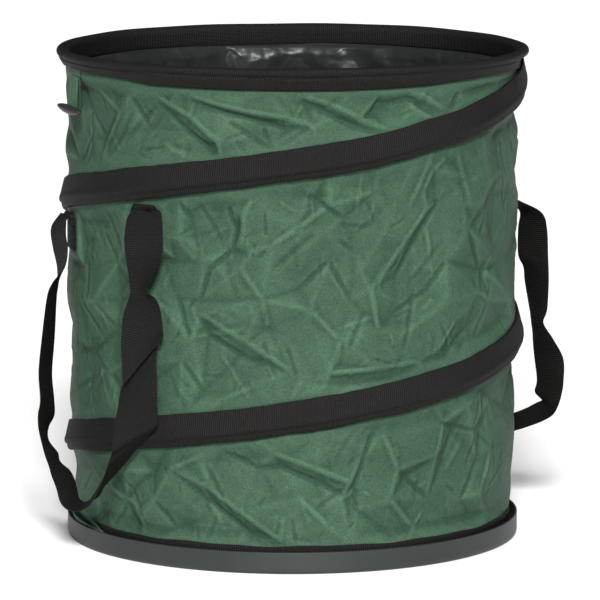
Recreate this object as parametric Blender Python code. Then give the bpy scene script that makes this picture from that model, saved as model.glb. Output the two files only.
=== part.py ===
"""Pop up leaf bag: a cylinder of coated cloth that a sprung wire spiral holds open.

Metres, +Z up. The origin is the middle of the tray's underside, on the ground.
Azimuths are in degrees from the front (-Y) towards +X.
"""

import math

import bmesh
import bpy
from mathutils import Matrix, Vector

# Driving dimensions
TOTAL_HEIGHT = 0.500
GAP = 0.0003
OVERRUN = 0.002
MERGE_DISTANCE = 0.000001
FACETS = 48

# Hard tray under the bag
TRAY_RADIUS = 0.230
TRAY_HEIGHT = 0.022
TRAY_WALL = 0.0022
TRAY_FLOOR = 0.0024
TRAY_CORNER = 0.004
TRAY_FOOT_WIDTH = 0.0235
TRAY_FOOT_STEP = 0.0025

# Cloth wall, and the film that lines it. Its foot stands clear of the tray's edge, and
# the wall is wider than its foot by these amounts further up.
BAG_TRAY_CLEARANCE = 0.0055
BAG_LOW_SPREAD = 0.0056
BAG_MIDDLE_SPREAD = 0.0074
BAG_TOP_SPREAD = 0.0085
WALL_THICKNESS = 0.0010
LINING_THICKNESS = 0.0006

# Bottom board and the snap rivets that hold it to the tray
BOARD_THICKNESS = 0.0015
BOARD_CLEARANCE = 0.0005
RIVETS = 4
RIVET_CIRCLE = 0.150
RIVET_FIRST_AZIMUTH = 45.0
RIVET_SHANK = 0.0025
RIVET_HEAD = 0.0070
RIVET_HEAD_HEIGHT = 0.0014
RIVET_CROWN_SHARE = 0.6
RIVET_SIDES = 12

# Spring wire, and the crimped sleeves that close its two rings
WIRE_RADIUS = 0.00175
WIRE_SIDES = 6
WIRE_FIRST_CORNER = 170.0
RING_JOINT_GAP = 0.001
RIM_JOINT_AZIMUTH = 131.0
FOOT_JOINT_AZIMUTH = 244.0
SLEEVE_LENGTH = 0.022
SLEEVE_WALL = 0.00035

# Webbing that binds the rim and the foot
WEB = 0.0014
RIM_DEPTH = 0.024
ROLL_WEB = 0.0023
ROLL_OVERLAP = 0.001
ROLL_OUTSIDE = (223.0, 485.0)
ROLL_POINTS = 9
ROLL_THROAT_SHARE = 0.9
ROLL_NECK_SHARE = 0.15
RIM_SLOT_SHARE = 0.35
FOOT_WEB = 0.0012
FOOT_WEB_SHOWS = 0.004

# Spiral of wire, and the webbing casing sewn over it, wider above the wire than below
SPIRAL_TURNS = 1.875
SPIRAL_TOP_AZIMUTH = 112.5
SPIRAL_LIFT = 0.0125
SPIRAL_LIFT_START = 20.0
SPIRAL_DRIFT = 0.005
CASING_ABOVE = 0.021
CASING_BELOW = 0.011
CASING_EDGE = 0.003
CASING_BACK = 0.00065
CASING_COVER = 0.0013
CASING_SEAT = 0.0005
TUNNEL_SIDES = 9

# The casing's outline from its edge to its crest: share of the way from the wire to the
# edge, and share of the rise from the edge's thickness to the crest
CASING_SHARES = ((1.00, 0.00), (0.50, 0.72), (0.16, 1.00))

# Carry handles, two loops of webbing sewn on a little below the casing
HANDLE_WIDTH = 0.038
HANDLE_WEB = 0.0016
HANDLE_AZIMUTHS = (-39.0, -76.0)
HANDLE_CASING_CLEARANCE = 0.006
HANDLE_SEWN_LENGTH = 0.030
HANDLE_FOLD_HEIGHT = 0.0115
HANDLE_CROWN_HEIGHT = 0.0032
HANDLE_CROWN_DEPTH = 0.0006
HANDLE_CROWN_SHARES = (0.3, 0.7)
HANDLE_LOWEST = 0.052
HANDLE_BULGE = 0.027
HANDLE_NECK_HALF = 0.004
HANDLE_NECK_LENGTH = 0.026
HANDLE_TURNS = {"left": 0.0, "right": 180.0}
STRAP_FACETS = 6

# The rounded end of a strap: share of its thickness by which it runs on, and how much of
# the thickness is left there
STRAP_END_SHARE = 0.3
STRAP_TIP_SHARE = 0.6

# Toggles on their tapes at the rim, and the tape loops at the foot that they hold
TOGGLE_AZIMUTH = -69.5
TOGGLE_TAPE_WIDTH = 0.025
TOGGLE_TAPE = 0.0015
TOGGLE_DROP = 0.0415
TOGGLE_EYE_MARGIN = 0.007
TOGGLE_TAPE_LEAN = 0.003
TOGGLE_LENGTH = 0.045
TOGGLE_HEIGHT = 0.009
TOGGLE_DEPTH = 0.009
TOGGLE_PIN = 0.0025
TOGGLE_KNOB = 0.0045
TOGGLE_KNOB_DEPTH = 0.002
TOGGLE_EYE_LIFT = 0.001
PIN_SIDES = 12
LOOP_AZIMUTH = -58.0
LOOP_LENGTH = 0.084
LOOP_WIDTH = 0.016
LOOP_TAPE = 0.0011
LOOP_OPENING = 0.0068
LOOP_RISE = 0.018
LOOP_RING_CLEARANCE = 0.0049
LOOP_TAB_RADIUS = 0.0036
LOOP_TAB_DEPTH = 0.0022
LOOP_LEAN = 6.0
TOGGLE_TURNS = {"left": 0.0, "right": 195.0}

# Radii and heights that follow from those
FACET = 360.0 / FACETS
FLOOR_TOP = TRAY_FOOT_STEP + TRAY_FLOOR
TRAY_INNER = TRAY_RADIUS - TRAY_WALL
BOARD_BOTTOM = FLOOR_TOP + GAP
BOARD_TOP = BOARD_BOTTOM + BOARD_THICKNESS
FOOT_WEB_OUTER = TRAY_INNER - BAG_TRAY_CLEARANCE
FOOT_WEB_TOP = TRAY_HEIGHT + FOOT_WEB_SHOWS
BAG_FOOT_RADIUS = FOOT_WEB_OUTER - FOOT_WEB - GAP
BAG_LOW_RADIUS = BAG_FOOT_RADIUS + BAG_LOW_SPREAD
BAG_MIDDLE_RADIUS = BAG_FOOT_RADIUS + BAG_MIDDLE_SPREAD
BAG_TOP_RADIUS = BAG_FOOT_RADIUS + BAG_TOP_SPREAD
WALL_FOOT_HEIGHT = TRAY_FLOOR + GAP
LINING_INSET = WALL_THICKNESS + GAP
TUNNEL = WIRE_RADIUS + GAP
SLEEVE_RADIUS = TUNNEL + SLEEVE_WALL
FLANGE_INNER = BAG_TOP_RADIUS + GAP
FLANGE_OUTER = FLANGE_INNER + WEB
INNER_FLANGE_OUTER = BAG_TOP_RADIUS - LINING_INSET - LINING_THICKNESS - GAP
INNER_FLANGE_INNER = INNER_FLANGE_OUTER - WEB
ROLL_TUNNEL = SLEEVE_RADIUS + GAP
ROLL_RADIUS = ROLL_TUNNEL + ROLL_WEB
RIM_BOTTOM = TOTAL_HEIGHT - RIM_DEPTH
RING_RADIUS = FLANGE_OUTER + ROLL_RADIUS - ROLL_OVERLAP
RING_HEIGHT = TOTAL_HEIGHT - ROLL_RADIUS
SLOT_TOP = RING_HEIGHT - ROLL_RADIUS - WEB / 2
WALL_TOP = SLOT_TOP - GAP
FOOT_RING_RADIUS = (FOOT_WEB_OUTER + TRAY_INNER) / 2
FOOT_RING_HEIGHT = TRAY_FLOOR + GAP + SLEEVE_RADIUS
CASING_LEAST = TUNNEL + CASING_EDGE
CASING_WIRE_OFFSET = CASING_SEAT + GAP + WEB + CASING_BACK + TUNNEL
SPIRAL_TOP = RING_HEIGHT - ROLL_RADIUS - GAP - CASING_LEAST
SPIRAL_BOTTOM = FOOT_RING_HEIGHT + 2 * WIRE_RADIUS + GAP
CASING_LOW = TRAY_HEIGHT + GAP + CASING_LEAST
LOOP_ROOT_HEIGHT = FOOT_RING_HEIGHT + SLEEVE_RADIUS + LOOP_RING_CLEARANCE + LOOP_TAB_RADIUS

# The wall's outline, foot to top: share of its height, then radius
WALL_HEIGHT = WALL_TOP - WALL_FOOT_HEIGHT
WALL_SHARES = (
    (0.000, BAG_FOOT_RADIUS),
    (0.060, BAG_FOOT_RADIUS),
    (0.140, (BAG_FOOT_RADIUS + BAG_LOW_RADIUS) / 2),
    (0.260, BAG_LOW_RADIUS),
    (0.600, BAG_MIDDLE_RADIUS),
    (0.900, BAG_TOP_RADIUS),
    (1.000, BAG_TOP_RADIUS),
)

# One handle from its front fold to its rear one: shares of the way round between the
# folds, of the bulge outwards, and of the drop from that leg's fold
HANDLE_ROUTE_SHARES = (
    (0.00, 0.00, 0.00),
    (0.00, 0.17, 0.06),
    (0.00, 0.26, 0.16),
    (0.02, 0.30, 0.42),
    (0.05, 0.32, 0.62),
    (0.10, 0.30, 0.78),
    (0.24, 0.24, 0.91),
    (0.44, 0.22, 0.985),
    (0.60, 0.26, 1.00),
    (0.76, 0.40, 0.955),
    (0.89, 0.66, 0.86),
    (0.97, 0.90, 0.73),
    (1.00, 1.00, 0.52),
    (1.00, 0.88, 0.33),
    (1.00, 0.62, 0.18),
    (1.00, 0.32, 0.07),
    (1.00, 0.00, 0.00),
)
HANDLE_FRONT_SHARE = 0.5
ROUTE_STEPS = 2

# A foot loop along its length: share of the length, of the opening, of the rise and of
# the width
LOOP_SHARES = (
    (0.00, 0.00, 0.00, 0.50),
    (0.08, 0.25, 0.12, 0.60),
    (0.20, 0.30, 0.50, 0.80),
    (0.36, 0.44, 0.92, 1.00),
    (0.56, 1.00, 1.00, 1.00),
    (0.76, 1.00, 1.00, 1.00),
    (0.93, 0.72, 1.00, 1.00),
    (1.00, 0.00, 1.00, 1.00),
)

# A toggle along its half length: share of the length, and of the thickness
TOGGLE_SHARES = ((0.16, 1.00), (0.45, 0.90), (0.75, 0.66), (0.94, 0.34), (1.00, 0.14))

# Colours, then how rough each finish is
GREEN_CLOTH = (0.085, 0.150, 0.105)
BLACK_WEBBING = (0.020, 0.020, 0.018)
BLACK_FILM = (0.016, 0.016, 0.016)
GREY_PLASTIC = (0.075, 0.085, 0.078)
BLACK_PLASTIC = (0.018, 0.018, 0.018)
SPRING_STEEL = (0.420, 0.430, 0.440)
CLOTH_ROUGHNESS = 0.55
WEBBING_ROUGHNESS = 0.75
FILM_ROUGHNESS = 0.30
PLASTIC_ROUGHNESS = 0.48
STEEL_ROUGHNESS = 0.35
SMOOTH_BELOW = 40.0


def clear_scene():
    for obj in list(bpy.data.objects):
        bpy.data.objects.remove(obj, do_unlink=True)


def finish(name, colour, roughness, metallic=0.0):
    material = bpy.data.materials.new(name)
    material.use_nodes = True
    shader = material.node_tree.nodes["Principled BSDF"]
    shader.inputs["Base Color"].default_value = (*colour, 1.0)
    shader.inputs["Roughness"].default_value = roughness
    shader.inputs["Metallic"].default_value = metallic
    material.diffuse_color = (*colour, 1.0)
    return material


def make_object(name, mesh_data, material, smooth_below=SMOOTH_BELOW):
    bmesh.ops.recalc_face_normals(mesh_data, faces=mesh_data.faces)
    mesh = bpy.data.meshes.new(name)
    mesh_data.to_mesh(mesh)
    mesh_data.free()
    mesh.shade_smooth()
    mesh.set_sharp_from_angle(angle=math.radians(smooth_below))
    mesh.materials.append(material)
    obj = bpy.data.objects.new(name, mesh)
    bpy.context.scene.collection.objects.link(obj)
    return obj


def joint_empty(name, place, parent=None):
    """An empty on a joint's axis. Pieces parented to it keep their world places."""
    empty = bpy.data.objects.new(name, None)
    bpy.context.scene.collection.objects.link(empty)
    empty.location = place
    if parent:
        empty.parent = parent
        empty.matrix_parent_inverse = Matrix.Translation(-parent.location)
    return empty


def hang(obj, empty):
    obj.parent = empty
    obj.matrix_parent_inverse = Matrix.Translation(-empty.location)
    return obj


def polar(azimuth, radius, height):
    angle = math.radians(azimuth)
    return Vector((radius * math.sin(angle), -radius * math.cos(angle), height))


def outward(azimuth):
    return polar(azimuth, 1.0, 0.0)


def sideways(azimuth):
    """The level direction along the wall, towards larger azimuths."""
    return outward(azimuth + 90.0)


def blend(start, end, share):
    return start + (end - start) * share


def along_table(table, share):
    """Each column of a table whose first column runs from 0 to 1, at this share."""
    for low, high in zip(table, table[1:]):
        if share <= high[0]:
            part = (share - low[0]) / (high[0] - low[0])
            return [blend(a, b, part) for a, b in zip(low[1:], high[1:])]
    return list(table[-1][1:])


def wall_radius(height):
    share = (height - WALL_FOOT_HEIGHT) / WALL_HEIGHT
    return along_table(WALL_SHARES, max(0.0, min(1.0, share)))[0]


def arc(centre, radius, start, end, count):
    """Points on an arc in an outline, angles in degrees from +r towards +z."""
    angles = [math.radians(blend(start, end, n / (count - 1))) for n in range(count)]
    return [
        (centre[0] + radius * math.cos(a), centre[1] + radius * math.sin(a)) for a in angles
    ]


def turned(name, outline, material):
    """A closed outline of (radius, height) points, turned once round the bag's axis."""
    mesh = bmesh.new()
    corners = [mesh.verts.new((0.0, -radius, height)) for radius, height in outline]
    for first, second in zip(corners, corners[1:] + corners[:1]):
        if first.co.y or second.co.y:
            mesh.edges.new((first, second))
    bmesh.ops.spin(
        mesh,
        geom=mesh.verts[:] + mesh.edges[:],
        cent=(0.0, 0.0, 0.0),
        axis=(0.0, 0.0, 1.0),
        angle=math.tau,
        steps=FACETS,
        use_merge=True,
    )
    bmesh.ops.remove_doubles(mesh, verts=mesh.verts, dist=MERGE_DISTANCE)
    return make_object(name, mesh, material)


def skin(mesh, loops, closed=False):
    """Faces between neighbouring loops of the same number of points."""
    rings = [[mesh.verts.new(point) for point in loop] for loop in loops]
    pairs = list(zip(rings, rings[1:]))
    if closed:
        pairs.append((rings[-1], rings[0]))
    for first, second in pairs:
        for n in range(len(first)):
            m = (n + 1) % len(first)
            mesh.faces.new((first[n], first[m], second[m], second[n]))
    return rings


def swept(name, loops, material, closed=False, smooth_below=SMOOTH_BELOW):
    """A solid that runs through the loops, capped at both ends unless it is closed."""
    mesh = bmesh.new()
    rings = skin(mesh, loops, closed)
    if not closed:
        mesh.faces.new(rings[0])
        mesh.faces.new(rings[-1])
    return make_object(name, mesh, material, smooth_below)


def swept_hollow(name, outer, inner, material, smooth_below=SMOOTH_BELOW):
    """A tube whose outer and inner loops have as many points, open at both ends."""
    mesh = bmesh.new()
    outside = skin(mesh, outer)
    inside = skin(mesh, inner)
    for n in (0, -1):
        count = len(outside[n])
        for a in range(count):
            b = (a + 1) % count
            mesh.faces.new((outside[n][a], outside[n][b], inside[n][b], inside[n][a]))
    return make_object(name, mesh, material, smooth_below)


def cut(obj, cutter):
    cutter.hide_render = True
    cutter.display_type = "WIRE"
    boolean = obj.modifiers.new("holes", "BOOLEAN")
    boolean.operation = "DIFFERENCE"
    boolean.solver = "EXACT"
    boolean.object = cutter


def joined(name, parts, material):
    """One solid from overlapping ones."""
    base = parts[0]
    for other in parts[1:]:
        other.hide_render = True
        other.display_type = "WIRE"
        union = base.modifiers.new("join", "BOOLEAN")
        union.operation = "UNION"
        union.solver = "EXACT"
        union.object = other
    base.name = name
    base.data.materials[0] = material
    return base


def disc_loops(centre, direction, level, radius, reach, sides):
    """Loops of a round pin from its near end to its far one, along a direction."""
    across = direction.cross(level).normalized()
    up = across.cross(direction).normalized()
    loops = []
    for distance in reach:
        middle = centre + direction * distance
        loops.append(
            [
                middle
                + across * radius * math.cos(math.tau * n / sides)
                + up * radius * math.sin(math.tau * n / sides)
                for n in range(sides)
            ]
        )
    return loops


def make_tray(material):
    foot_outer = TRAY_RADIUS - TRAY_CORNER
    foot_inner = foot_outer - TRAY_FOOT_WIDTH
    inner_corner = TRAY_CORNER - TRAY_WALL
    outline = [(0.0, TRAY_FOOT_STEP), (foot_inner - TRAY_FOOT_STEP, TRAY_FOOT_STEP)]
    outline.append((foot_inner, 0.0))
    outline += arc((foot_outer, TRAY_CORNER), TRAY_CORNER, -90.0, 0.0, 4)
    outline += [(TRAY_RADIUS, TRAY_HEIGHT), (TRAY_INNER, TRAY_HEIGHT)]
    inner_centre = (TRAY_INNER - inner_corner, TRAY_FLOOR + inner_corner)
    outline += arc(inner_centre, inner_corner, 0.0, -90.0, 3)
    outline += [(foot_inner + TRAY_WALL, TRAY_FLOOR), (foot_inner - TRAY_WALL, FLOOR_TOP)]
    outline.append((0.0, FLOOR_TOP))
    return turned("base_tray", outline, material)


def board_radius():
    return BAG_FOOT_RADIUS - WALL_THICKNESS - BOARD_CLEARANCE


def make_board(material):
    outline = [
        (0.0, BOARD_BOTTOM),
        (board_radius(), BOARD_BOTTOM),
        (board_radius(), BOARD_TOP),
        (0.0, BOARD_TOP),
    ]
    return turned("bottom_board", outline, material)


def rivet_place(number):
    return polar(RIVET_FIRST_AZIMUTH + 360.0 * number / RIVETS, RIVET_CIRCLE, 0.0)


def make_rivets(material, holed):
    """Snap rivets: a shank through tray and board, a head below and a cap above."""
    up = Vector((0.0, 0.0, 1.0))
    level = Vector((0.0, 1.0, 0.0))
    head_top = TRAY_FOOT_STEP - GAP
    cap_bottom = BOARD_TOP + GAP
    profile = (
        (head_top - RIVET_HEAD_HEIGHT, RIVET_HEAD * RIVET_CROWN_SHARE),
        (head_top - RIVET_HEAD_HEIGHT / 2, RIVET_HEAD),
        (head_top, RIVET_HEAD),
        (head_top, RIVET_SHANK),
        (cap_bottom, RIVET_SHANK),
        (cap_bottom, RIVET_HEAD),
        (cap_bottom + RIVET_HEAD_HEIGHT / 2, RIVET_HEAD),
        (cap_bottom + RIVET_HEAD_HEIGHT, RIVET_HEAD * RIVET_CROWN_SHARE),
    )
    for number in range(RIVETS):
        place = rivet_place(number)
        loops = [
            disc_loops(place, up, level, radius, (height,), RIVET_SIDES)[0]
            for height, radius in profile
        ]
        swept(f"snap_rivet_{number + 1}", loops, material)
    drill = bmesh.new()
    for number in range(RIVETS):
        reach = (-OVERRUN, BOARD_TOP + OVERRUN)
        loops = disc_loops(
            rivet_place(number), up, level, RIVET_SHANK + GAP, reach, RIVET_SIDES
        )
        rings = skin(drill, loops)
        drill.faces.new(rings[0])
        drill.faces.new(rings[-1])
    drill_object = make_object("rivet_drill", drill, material)
    for obj in holed:
        cut(obj, drill_object)


def wall_levels(bottom, top):
    inner = [
        WALL_FOOT_HEIGHT + share * WALL_HEIGHT
        for share, _ in WALL_SHARES
        if bottom < WALL_FOOT_HEIGHT + share * WALL_HEIGHT < top
    ]
    return [bottom, *inner, top]


def make_shell(name, inset, thickness, bottom, material):
    """A sleeve that follows the wall's outline, inset from its outer face."""
    levels = wall_levels(bottom, WALL_TOP)
    outer = [(wall_radius(z) - inset, z) for z in levels]
    inner = [(wall_radius(z) - inset - thickness, z) for z in reversed(levels)]
    return turned(name, outer + inner, material)


def make_foot_binding(material):
    inner = BAG_FOOT_RADIUS + GAP
    outline = [
        (inner, WALL_FOOT_HEIGHT),
        (FOOT_WEB_OUTER, WALL_FOOT_HEIGHT),
        (FOOT_WEB_OUTER, FOOT_WEB_TOP),
        (inner, FOOT_WEB_TOP),
    ]
    return turned("foot_binding", outline, material)


def make_rim_binding(material):
    """Webbing folded over the wall's edge, with the top ring in the roll at its outside."""
    centre = (RING_RADIUS, RING_HEIGHT)
    neck = (RING_RADIUS - ROLL_RADIUS, RING_HEIGHT - ROLL_RADIUS * ROLL_NECK_SHARE)
    throat = (RING_RADIUS - ROLL_RADIUS * ROLL_THROAT_SHARE, RING_HEIGHT - ROLL_RADIUS / 2)
    tunnel_end = WIRE_FIRST_CORNER - 360.0 * (1 - 1 / WIRE_SIDES)
    outline = [(FLANGE_OUTER, RIM_BOTTOM), (FLANGE_OUTER, SLOT_TOP + WEB / 2)]
    outline += arc(centre, ROLL_RADIUS, *ROLL_OUTSIDE, ROLL_POINTS)
    outline += [
        (INNER_FLANGE_INNER, SLOT_TOP + 2 * WEB),
        (INNER_FLANGE_INNER, RIM_BOTTOM),
        (INNER_FLANGE_OUTER, RIM_BOTTOM),
        (INNER_FLANGE_OUTER, SLOT_TOP),
        (blend(INNER_FLANGE_OUTER, FLANGE_INNER, RIM_SLOT_SHARE), SLOT_TOP),
        neck,
    ]
    outline += arc(centre, ROLL_TUNNEL, WIRE_FIRST_CORNER, tunnel_end, WIRE_SIDES)
    outline += [throat, (FLANGE_INNER, SLOT_TOP), (FLANGE_INNER, RIM_BOTTOM)]
    return turned("rim_binding", outline, material)


def section_loop(azimuth, centre_radius, centre_height, radius):
    """A wire's round section, in the upright plane at this azimuth."""
    last_corner = WIRE_FIRST_CORNER + 360.0 * (1 - 1 / WIRE_SIDES)
    centre = (centre_radius, centre_height)
    points = arc(centre, radius, WIRE_FIRST_CORNER, last_corner, WIRE_SIDES)
    return [polar(azimuth, r, z) for r, z in points]


def chord_radius(radius, azimuth):
    """How far a facet, flat between corners at this radius, is from the axis here."""
    off_middle = (azimuth % FACET) - FACET / 2
    return radius * math.cos(math.radians(FACET / 2)) / math.cos(math.radians(off_middle))


def joint_facet(azimuth):
    return int(azimuth / FACET)


def make_ring(name, radius, height, facet, material):
    """A ring of wire whose ends meet, a small gap apart, in the middle of one facet."""
    middle = (facet + 0.5) * FACET
    half_gap = math.degrees(RING_JOINT_GAP / 2 / radius)
    corners = [(facet + 1 + n) * FACET for n in range(FACETS)]
    azimuths = [middle + half_gap, *corners, middle + 360.0 - half_gap]
    radii = [chord_radius(radius, azimuths[0]), *[radius] * FACETS]
    radii.append(chord_radius(radius, azimuths[-1]))
    loops = [section_loop(a, r, height, WIRE_RADIUS) for a, r in zip(azimuths, radii)]
    return swept(name, loops, material)


def make_sleeve(name, radius, height, facet, material):
    """A crimped sleeve over a ring's two ends, as long as one flat facet allows."""
    middle = (facet + 0.5) * FACET
    half = min(math.degrees(SLEEVE_LENGTH / 2 / radius), FACET / 2)
    outer, inner = [], []
    for azimuth in (middle - half, middle + half):
        here = chord_radius(radius, azimuth)
        outer.append(section_loop(azimuth, here, height, SLEEVE_RADIUS))
        inner.append(section_loop(azimuth, here, height, TUNNEL))
    return swept_hollow(name, outer, inner, material)


def spiral_turns():
    """The wire's corners, in degrees counted down from its top end."""
    steps = round(SPIRAL_TURNS * FACETS)
    first = round(SPIRAL_TOP_AZIMUTH / FACET) * FACET
    return [first - n * FACET for n in range(steps + 1)]


def spiral_height(turn):
    """The wire's height at a turn: it leaves the rim steeply and sways once a turn."""
    first, last = spiral_turns()[0], spiral_turns()[-1]
    run_share = (first - turn) / (first - last)
    lift_share = max(0.0, (turn - SPIRAL_LIFT_START) / (first - SPIRAL_LIFT_START))
    first_sway, sway, last_sway = (
        SPIRAL_DRIFT * math.sin(math.radians(angle)) for angle in (first, turn, last)
    )
    fall = SPIRAL_TOP - SPIRAL_BOTTOM - SPIRAL_LIFT - (last_sway - first_sway)
    lift = SPIRAL_LIFT * (1 - lift_share)
    return SPIRAL_TOP - fall * run_share - (sway - first_sway) - lift


def spiral_radius(height):
    if height < CASING_LOW:
        return FOOT_RING_RADIUS
    return wall_radius(height) + CASING_WIRE_OFFSET


def make_spiral_wire(material):
    loops = []
    for turn in spiral_turns():
        height = spiral_height(turn)
        loops.append(section_loop(turn, spiral_radius(height), height, WIRE_RADIUS))
    return swept("spiral_spring", loops, material)


def casing_spans():
    """Each corner of the casing: its turn, lower edge, wire height and upper edge."""
    spans = []
    for turn in spiral_turns():
        height = spiral_height(turn)
        if height < CASING_LOW:
            break
        low = max(height - CASING_BELOW, TRAY_HEIGHT + GAP)
        high = min(height + CASING_ABOVE, SPIRAL_TOP + CASING_LEAST)
        spans.append((turn, low, height, high))
    return spans


def casing_step(low, high):
    """How far the casing's back stands off where it passes over a binding."""
    over_rim = FLANGE_OUTER - BAG_TOP_RADIUS if high > RIM_BOTTOM - WEB else 0.0
    over_foot = FOOT_WEB_OUTER - BAG_FOOT_RADIUS if low < FOOT_WEB_TOP + WEB else 0.0
    return max(over_rim, over_foot)


def make_casing(material):
    """Webbing over the spiral: flat against the wall, ridged over the wire."""
    spans = casing_spans()
    steps = [casing_step(low, high) for _, low, _, high in spans]
    crest = CASING_WIRE_OFFSET + TUNNEL + CASING_COVER
    outer, inner = [], []
    for n, (turn, low, height, high) in enumerate(spans):
        back = CASING_SEAT + max(steps[max(0, n - 1) : n + 2])
        profile = [(back, high), (back, height), (back, low)]
        for out_share, rise_share in CASING_SHARES:
            profile.append((blend(back + WEB, crest, rise_share), blend(height, low, out_share)))
        for out_share, rise_share in reversed(CASING_SHARES):
            profile.append((blend(back + WEB, crest, rise_share), blend(height, high, out_share)))
        outer.append([polar(turn, wall_radius(z) + offset, z) for offset, z in profile])
        inner.append(casing_tunnel(turn, height))
    return swept_hollow("spiral_casing", outer, inner, material)


def casing_tunnel(turn, height):
    """The tunnel's loop, its points in the order of the casing's outline."""
    radius = wall_radius(height) + CASING_WIRE_OFFSET
    side = 360.0 / TUNNEL_SIDES
    points = arc((radius, height), TUNNEL, 180.0 - side, 540.0 - 2 * side, TUNNEL_SIDES)
    return [polar(turn, r, z) for r, z in points]


def handle_crown():
    """How far a fold's rounded top stands off the wall."""
    return 2 * GAP + HANDLE_WEB + HANDLE_CROWN_DEPTH


def handle_leg_radius(height):
    """The strap hangs in front of its fold, on a hinge line that cuts across the curve."""
    front, rear = HANDLE_AZIMUTHS
    skew = math.sin(math.radians(abs(front - rear) / 2))
    return wall_radius(height) + handle_crown() + GAP + HANDLE_WEB / 2 + HANDLE_NECK_HALF * skew


def handle_fold_top(azimuth):
    return spiral_height(azimuth) - CASING_BELOW - HANDLE_CASING_CLEARANCE


def handle_pivot_heights():
    return [handle_fold_top(azimuth) - HANDLE_CROWN_HEIGHT / 2 for azimuth in HANDLE_AZIMUTHS]


def handle_pivots(turn):
    return [
        polar(azimuth + turn, handle_leg_radius(height), height)
        for azimuth, height in zip(HANDLE_AZIMUTHS, handle_pivot_heights())
    ]


def band_on_wall(name, azimuth, rows, width, material):
    """A strap across which each row of (offset from the wall, height) is repeated."""
    span = math.degrees(width / BAG_MIDDLE_RADIUS)
    loops = []
    for n in range(STRAP_FACETS + 1):
        here = azimuth + span * (n / STRAP_FACETS - 0.5)
        loops.append([polar(here, wall_radius(z) + offset, z) for offset, z in rows])
    return swept(name, loops, material)


def make_handle(side, turn, material, fold_empty, loop_empty):
    """The sewn ends, the folds above them and the loop that hangs from the folds."""
    near = 2 * GAP
    far = near + HANDLE_WEB
    crown = handle_crown()
    inner_share, outer_share = HANDLE_CROWN_SHARES
    for place, azimuth in zip(("front", "rear"), HANDLE_AZIMUTHS):
        top = handle_fold_top(azimuth)
        bottom = top - HANDLE_FOLD_HEIGHT
        shoulder = top - HANDLE_WEB / 2
        sewn_top = bottom - GAP
        sewn = (
            (near, sewn_top - HANDLE_SEWN_LENGTH),
            (far, sewn_top - HANDLE_SEWN_LENGTH),
            (far, sewn_top),
            (near, sewn_top),
        )
        band_on_wall(f"handle_{side}_{place}_end", azimuth + turn, sewn, HANDLE_WIDTH, material)
        fold = (
            (near, bottom),
            (far, bottom),
            (far, top - HANDLE_CROWN_HEIGHT),
            (crown, top - HANDLE_CROWN_HEIGHT),
            (crown, shoulder),
            (blend(near, crown, outer_share), top),
            (blend(near, crown, inner_share), top),
            (near, shoulder),
        )
        name = f"handle_{side}_{place}_fold"
        hang(band_on_wall(name, azimuth + turn, fold, HANDLE_WIDTH, material), fold_empty)
    hang(make_handle_loop(side, turn, material), loop_empty)


def smooth_route(points, steps):
    """Points on a curve through the given ones, with this many steps to each stretch."""
    ends = [points[0] * 2 - points[1], *points, points[-1] * 2 - points[-2]]
    route = []
    for n in range(1, len(ends) - 2):
        before, here, there, after = ends[n - 1 : n + 3]
        for step in range(steps):
            t = step / steps
            pull = (there - before) / 2
            push = (after - here) / 2
            route.append(
                here * (2 * t**3 - 3 * t**2 + 1)
                + pull * (t**3 - 2 * t**2 + t)
                + there * (3 * t**2 - 2 * t**3)
                + push * (t**3 - t**2)
            )
    route.append(points[-1])
    return route


def handle_route(turn):
    points = []
    front, rear = HANDLE_AZIMUTHS
    front_height, rear_height = handle_pivot_heights()
    for round_share, bulge_share, drop_share in HANDLE_ROUTE_SHARES:
        start = front_height if round_share < HANDLE_FRONT_SHARE else rear_height
        height = blend(start, HANDLE_LOWEST, drop_share)
        leg = handle_leg_radius(start)
        points.append(
            polar(
                blend(front, rear, round_share) + turn,
                leg + HANDLE_BULGE * bulge_share,
                height,
            )
        )
    return smooth_route(points, ROUTE_STEPS)


def make_handle_loop(side, turn, material):
    """One strap between the folds, as wide as the webbing but for a narrow neck at each."""
    route = handle_route(turn)
    axis = (route[0] - route[-1]).normalized()
    lengths = [0.0]
    for first, second in zip(route, route[1:]):
        lengths.append(lengths[-1] + (second - first).length)
    loops = []
    for n, place in enumerate(route):
        ahead = route[min(n + 1, len(route) - 1)] - route[max(n - 1, 0)]
        ahead.normalize()
        away = Vector((place.x, place.y, 0.0)).normalized()
        across = away.cross(ahead).normalized()
        from_end = min(lengths[n], lengths[-1] - lengths[n])
        opened = min(1.0, from_end / HANDLE_NECK_LENGTH)
        pivot_line = axis if axis.dot(across) > 0 else -axis
        across = pivot_line.lerp(across, opened).normalized()
        half = blend(HANDLE_NECK_HALF, HANDLE_WIDTH / 2, math.sin(opened * math.pi / 2))
        thick = ahead.cross(across).normalized() * (HANDLE_WEB / 2)
        on = ahead * HANDLE_WEB * STRAP_END_SHARE
        tip = thick * STRAP_TIP_SHARE
        if n == 0:
            loops.append(strap_section(place - on, across * half, tip))
        loops.append(strap_section(place, across * half, thick))
        if n == len(route) - 1:
            loops.append(strap_section(place + on, across * half, tip))
    return swept(f"handle_{side}_loop", loops, material)


def strap_section(place, half_width, half_thickness):
    return [
        place + half_width + half_thickness,
        place - half_width + half_thickness,
        place - half_width - half_thickness,
        place + half_width - half_thickness,
    ]


def toggle_axis_height():
    return RIM_BOTTOM - GAP - TOGGLE_TAPE / 2


def toggle_root(azimuth):
    radius = FLANGE_INNER + GAP + TOGGLE_TAPE / 2
    return polar(azimuth, radius, toggle_axis_height())


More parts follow.
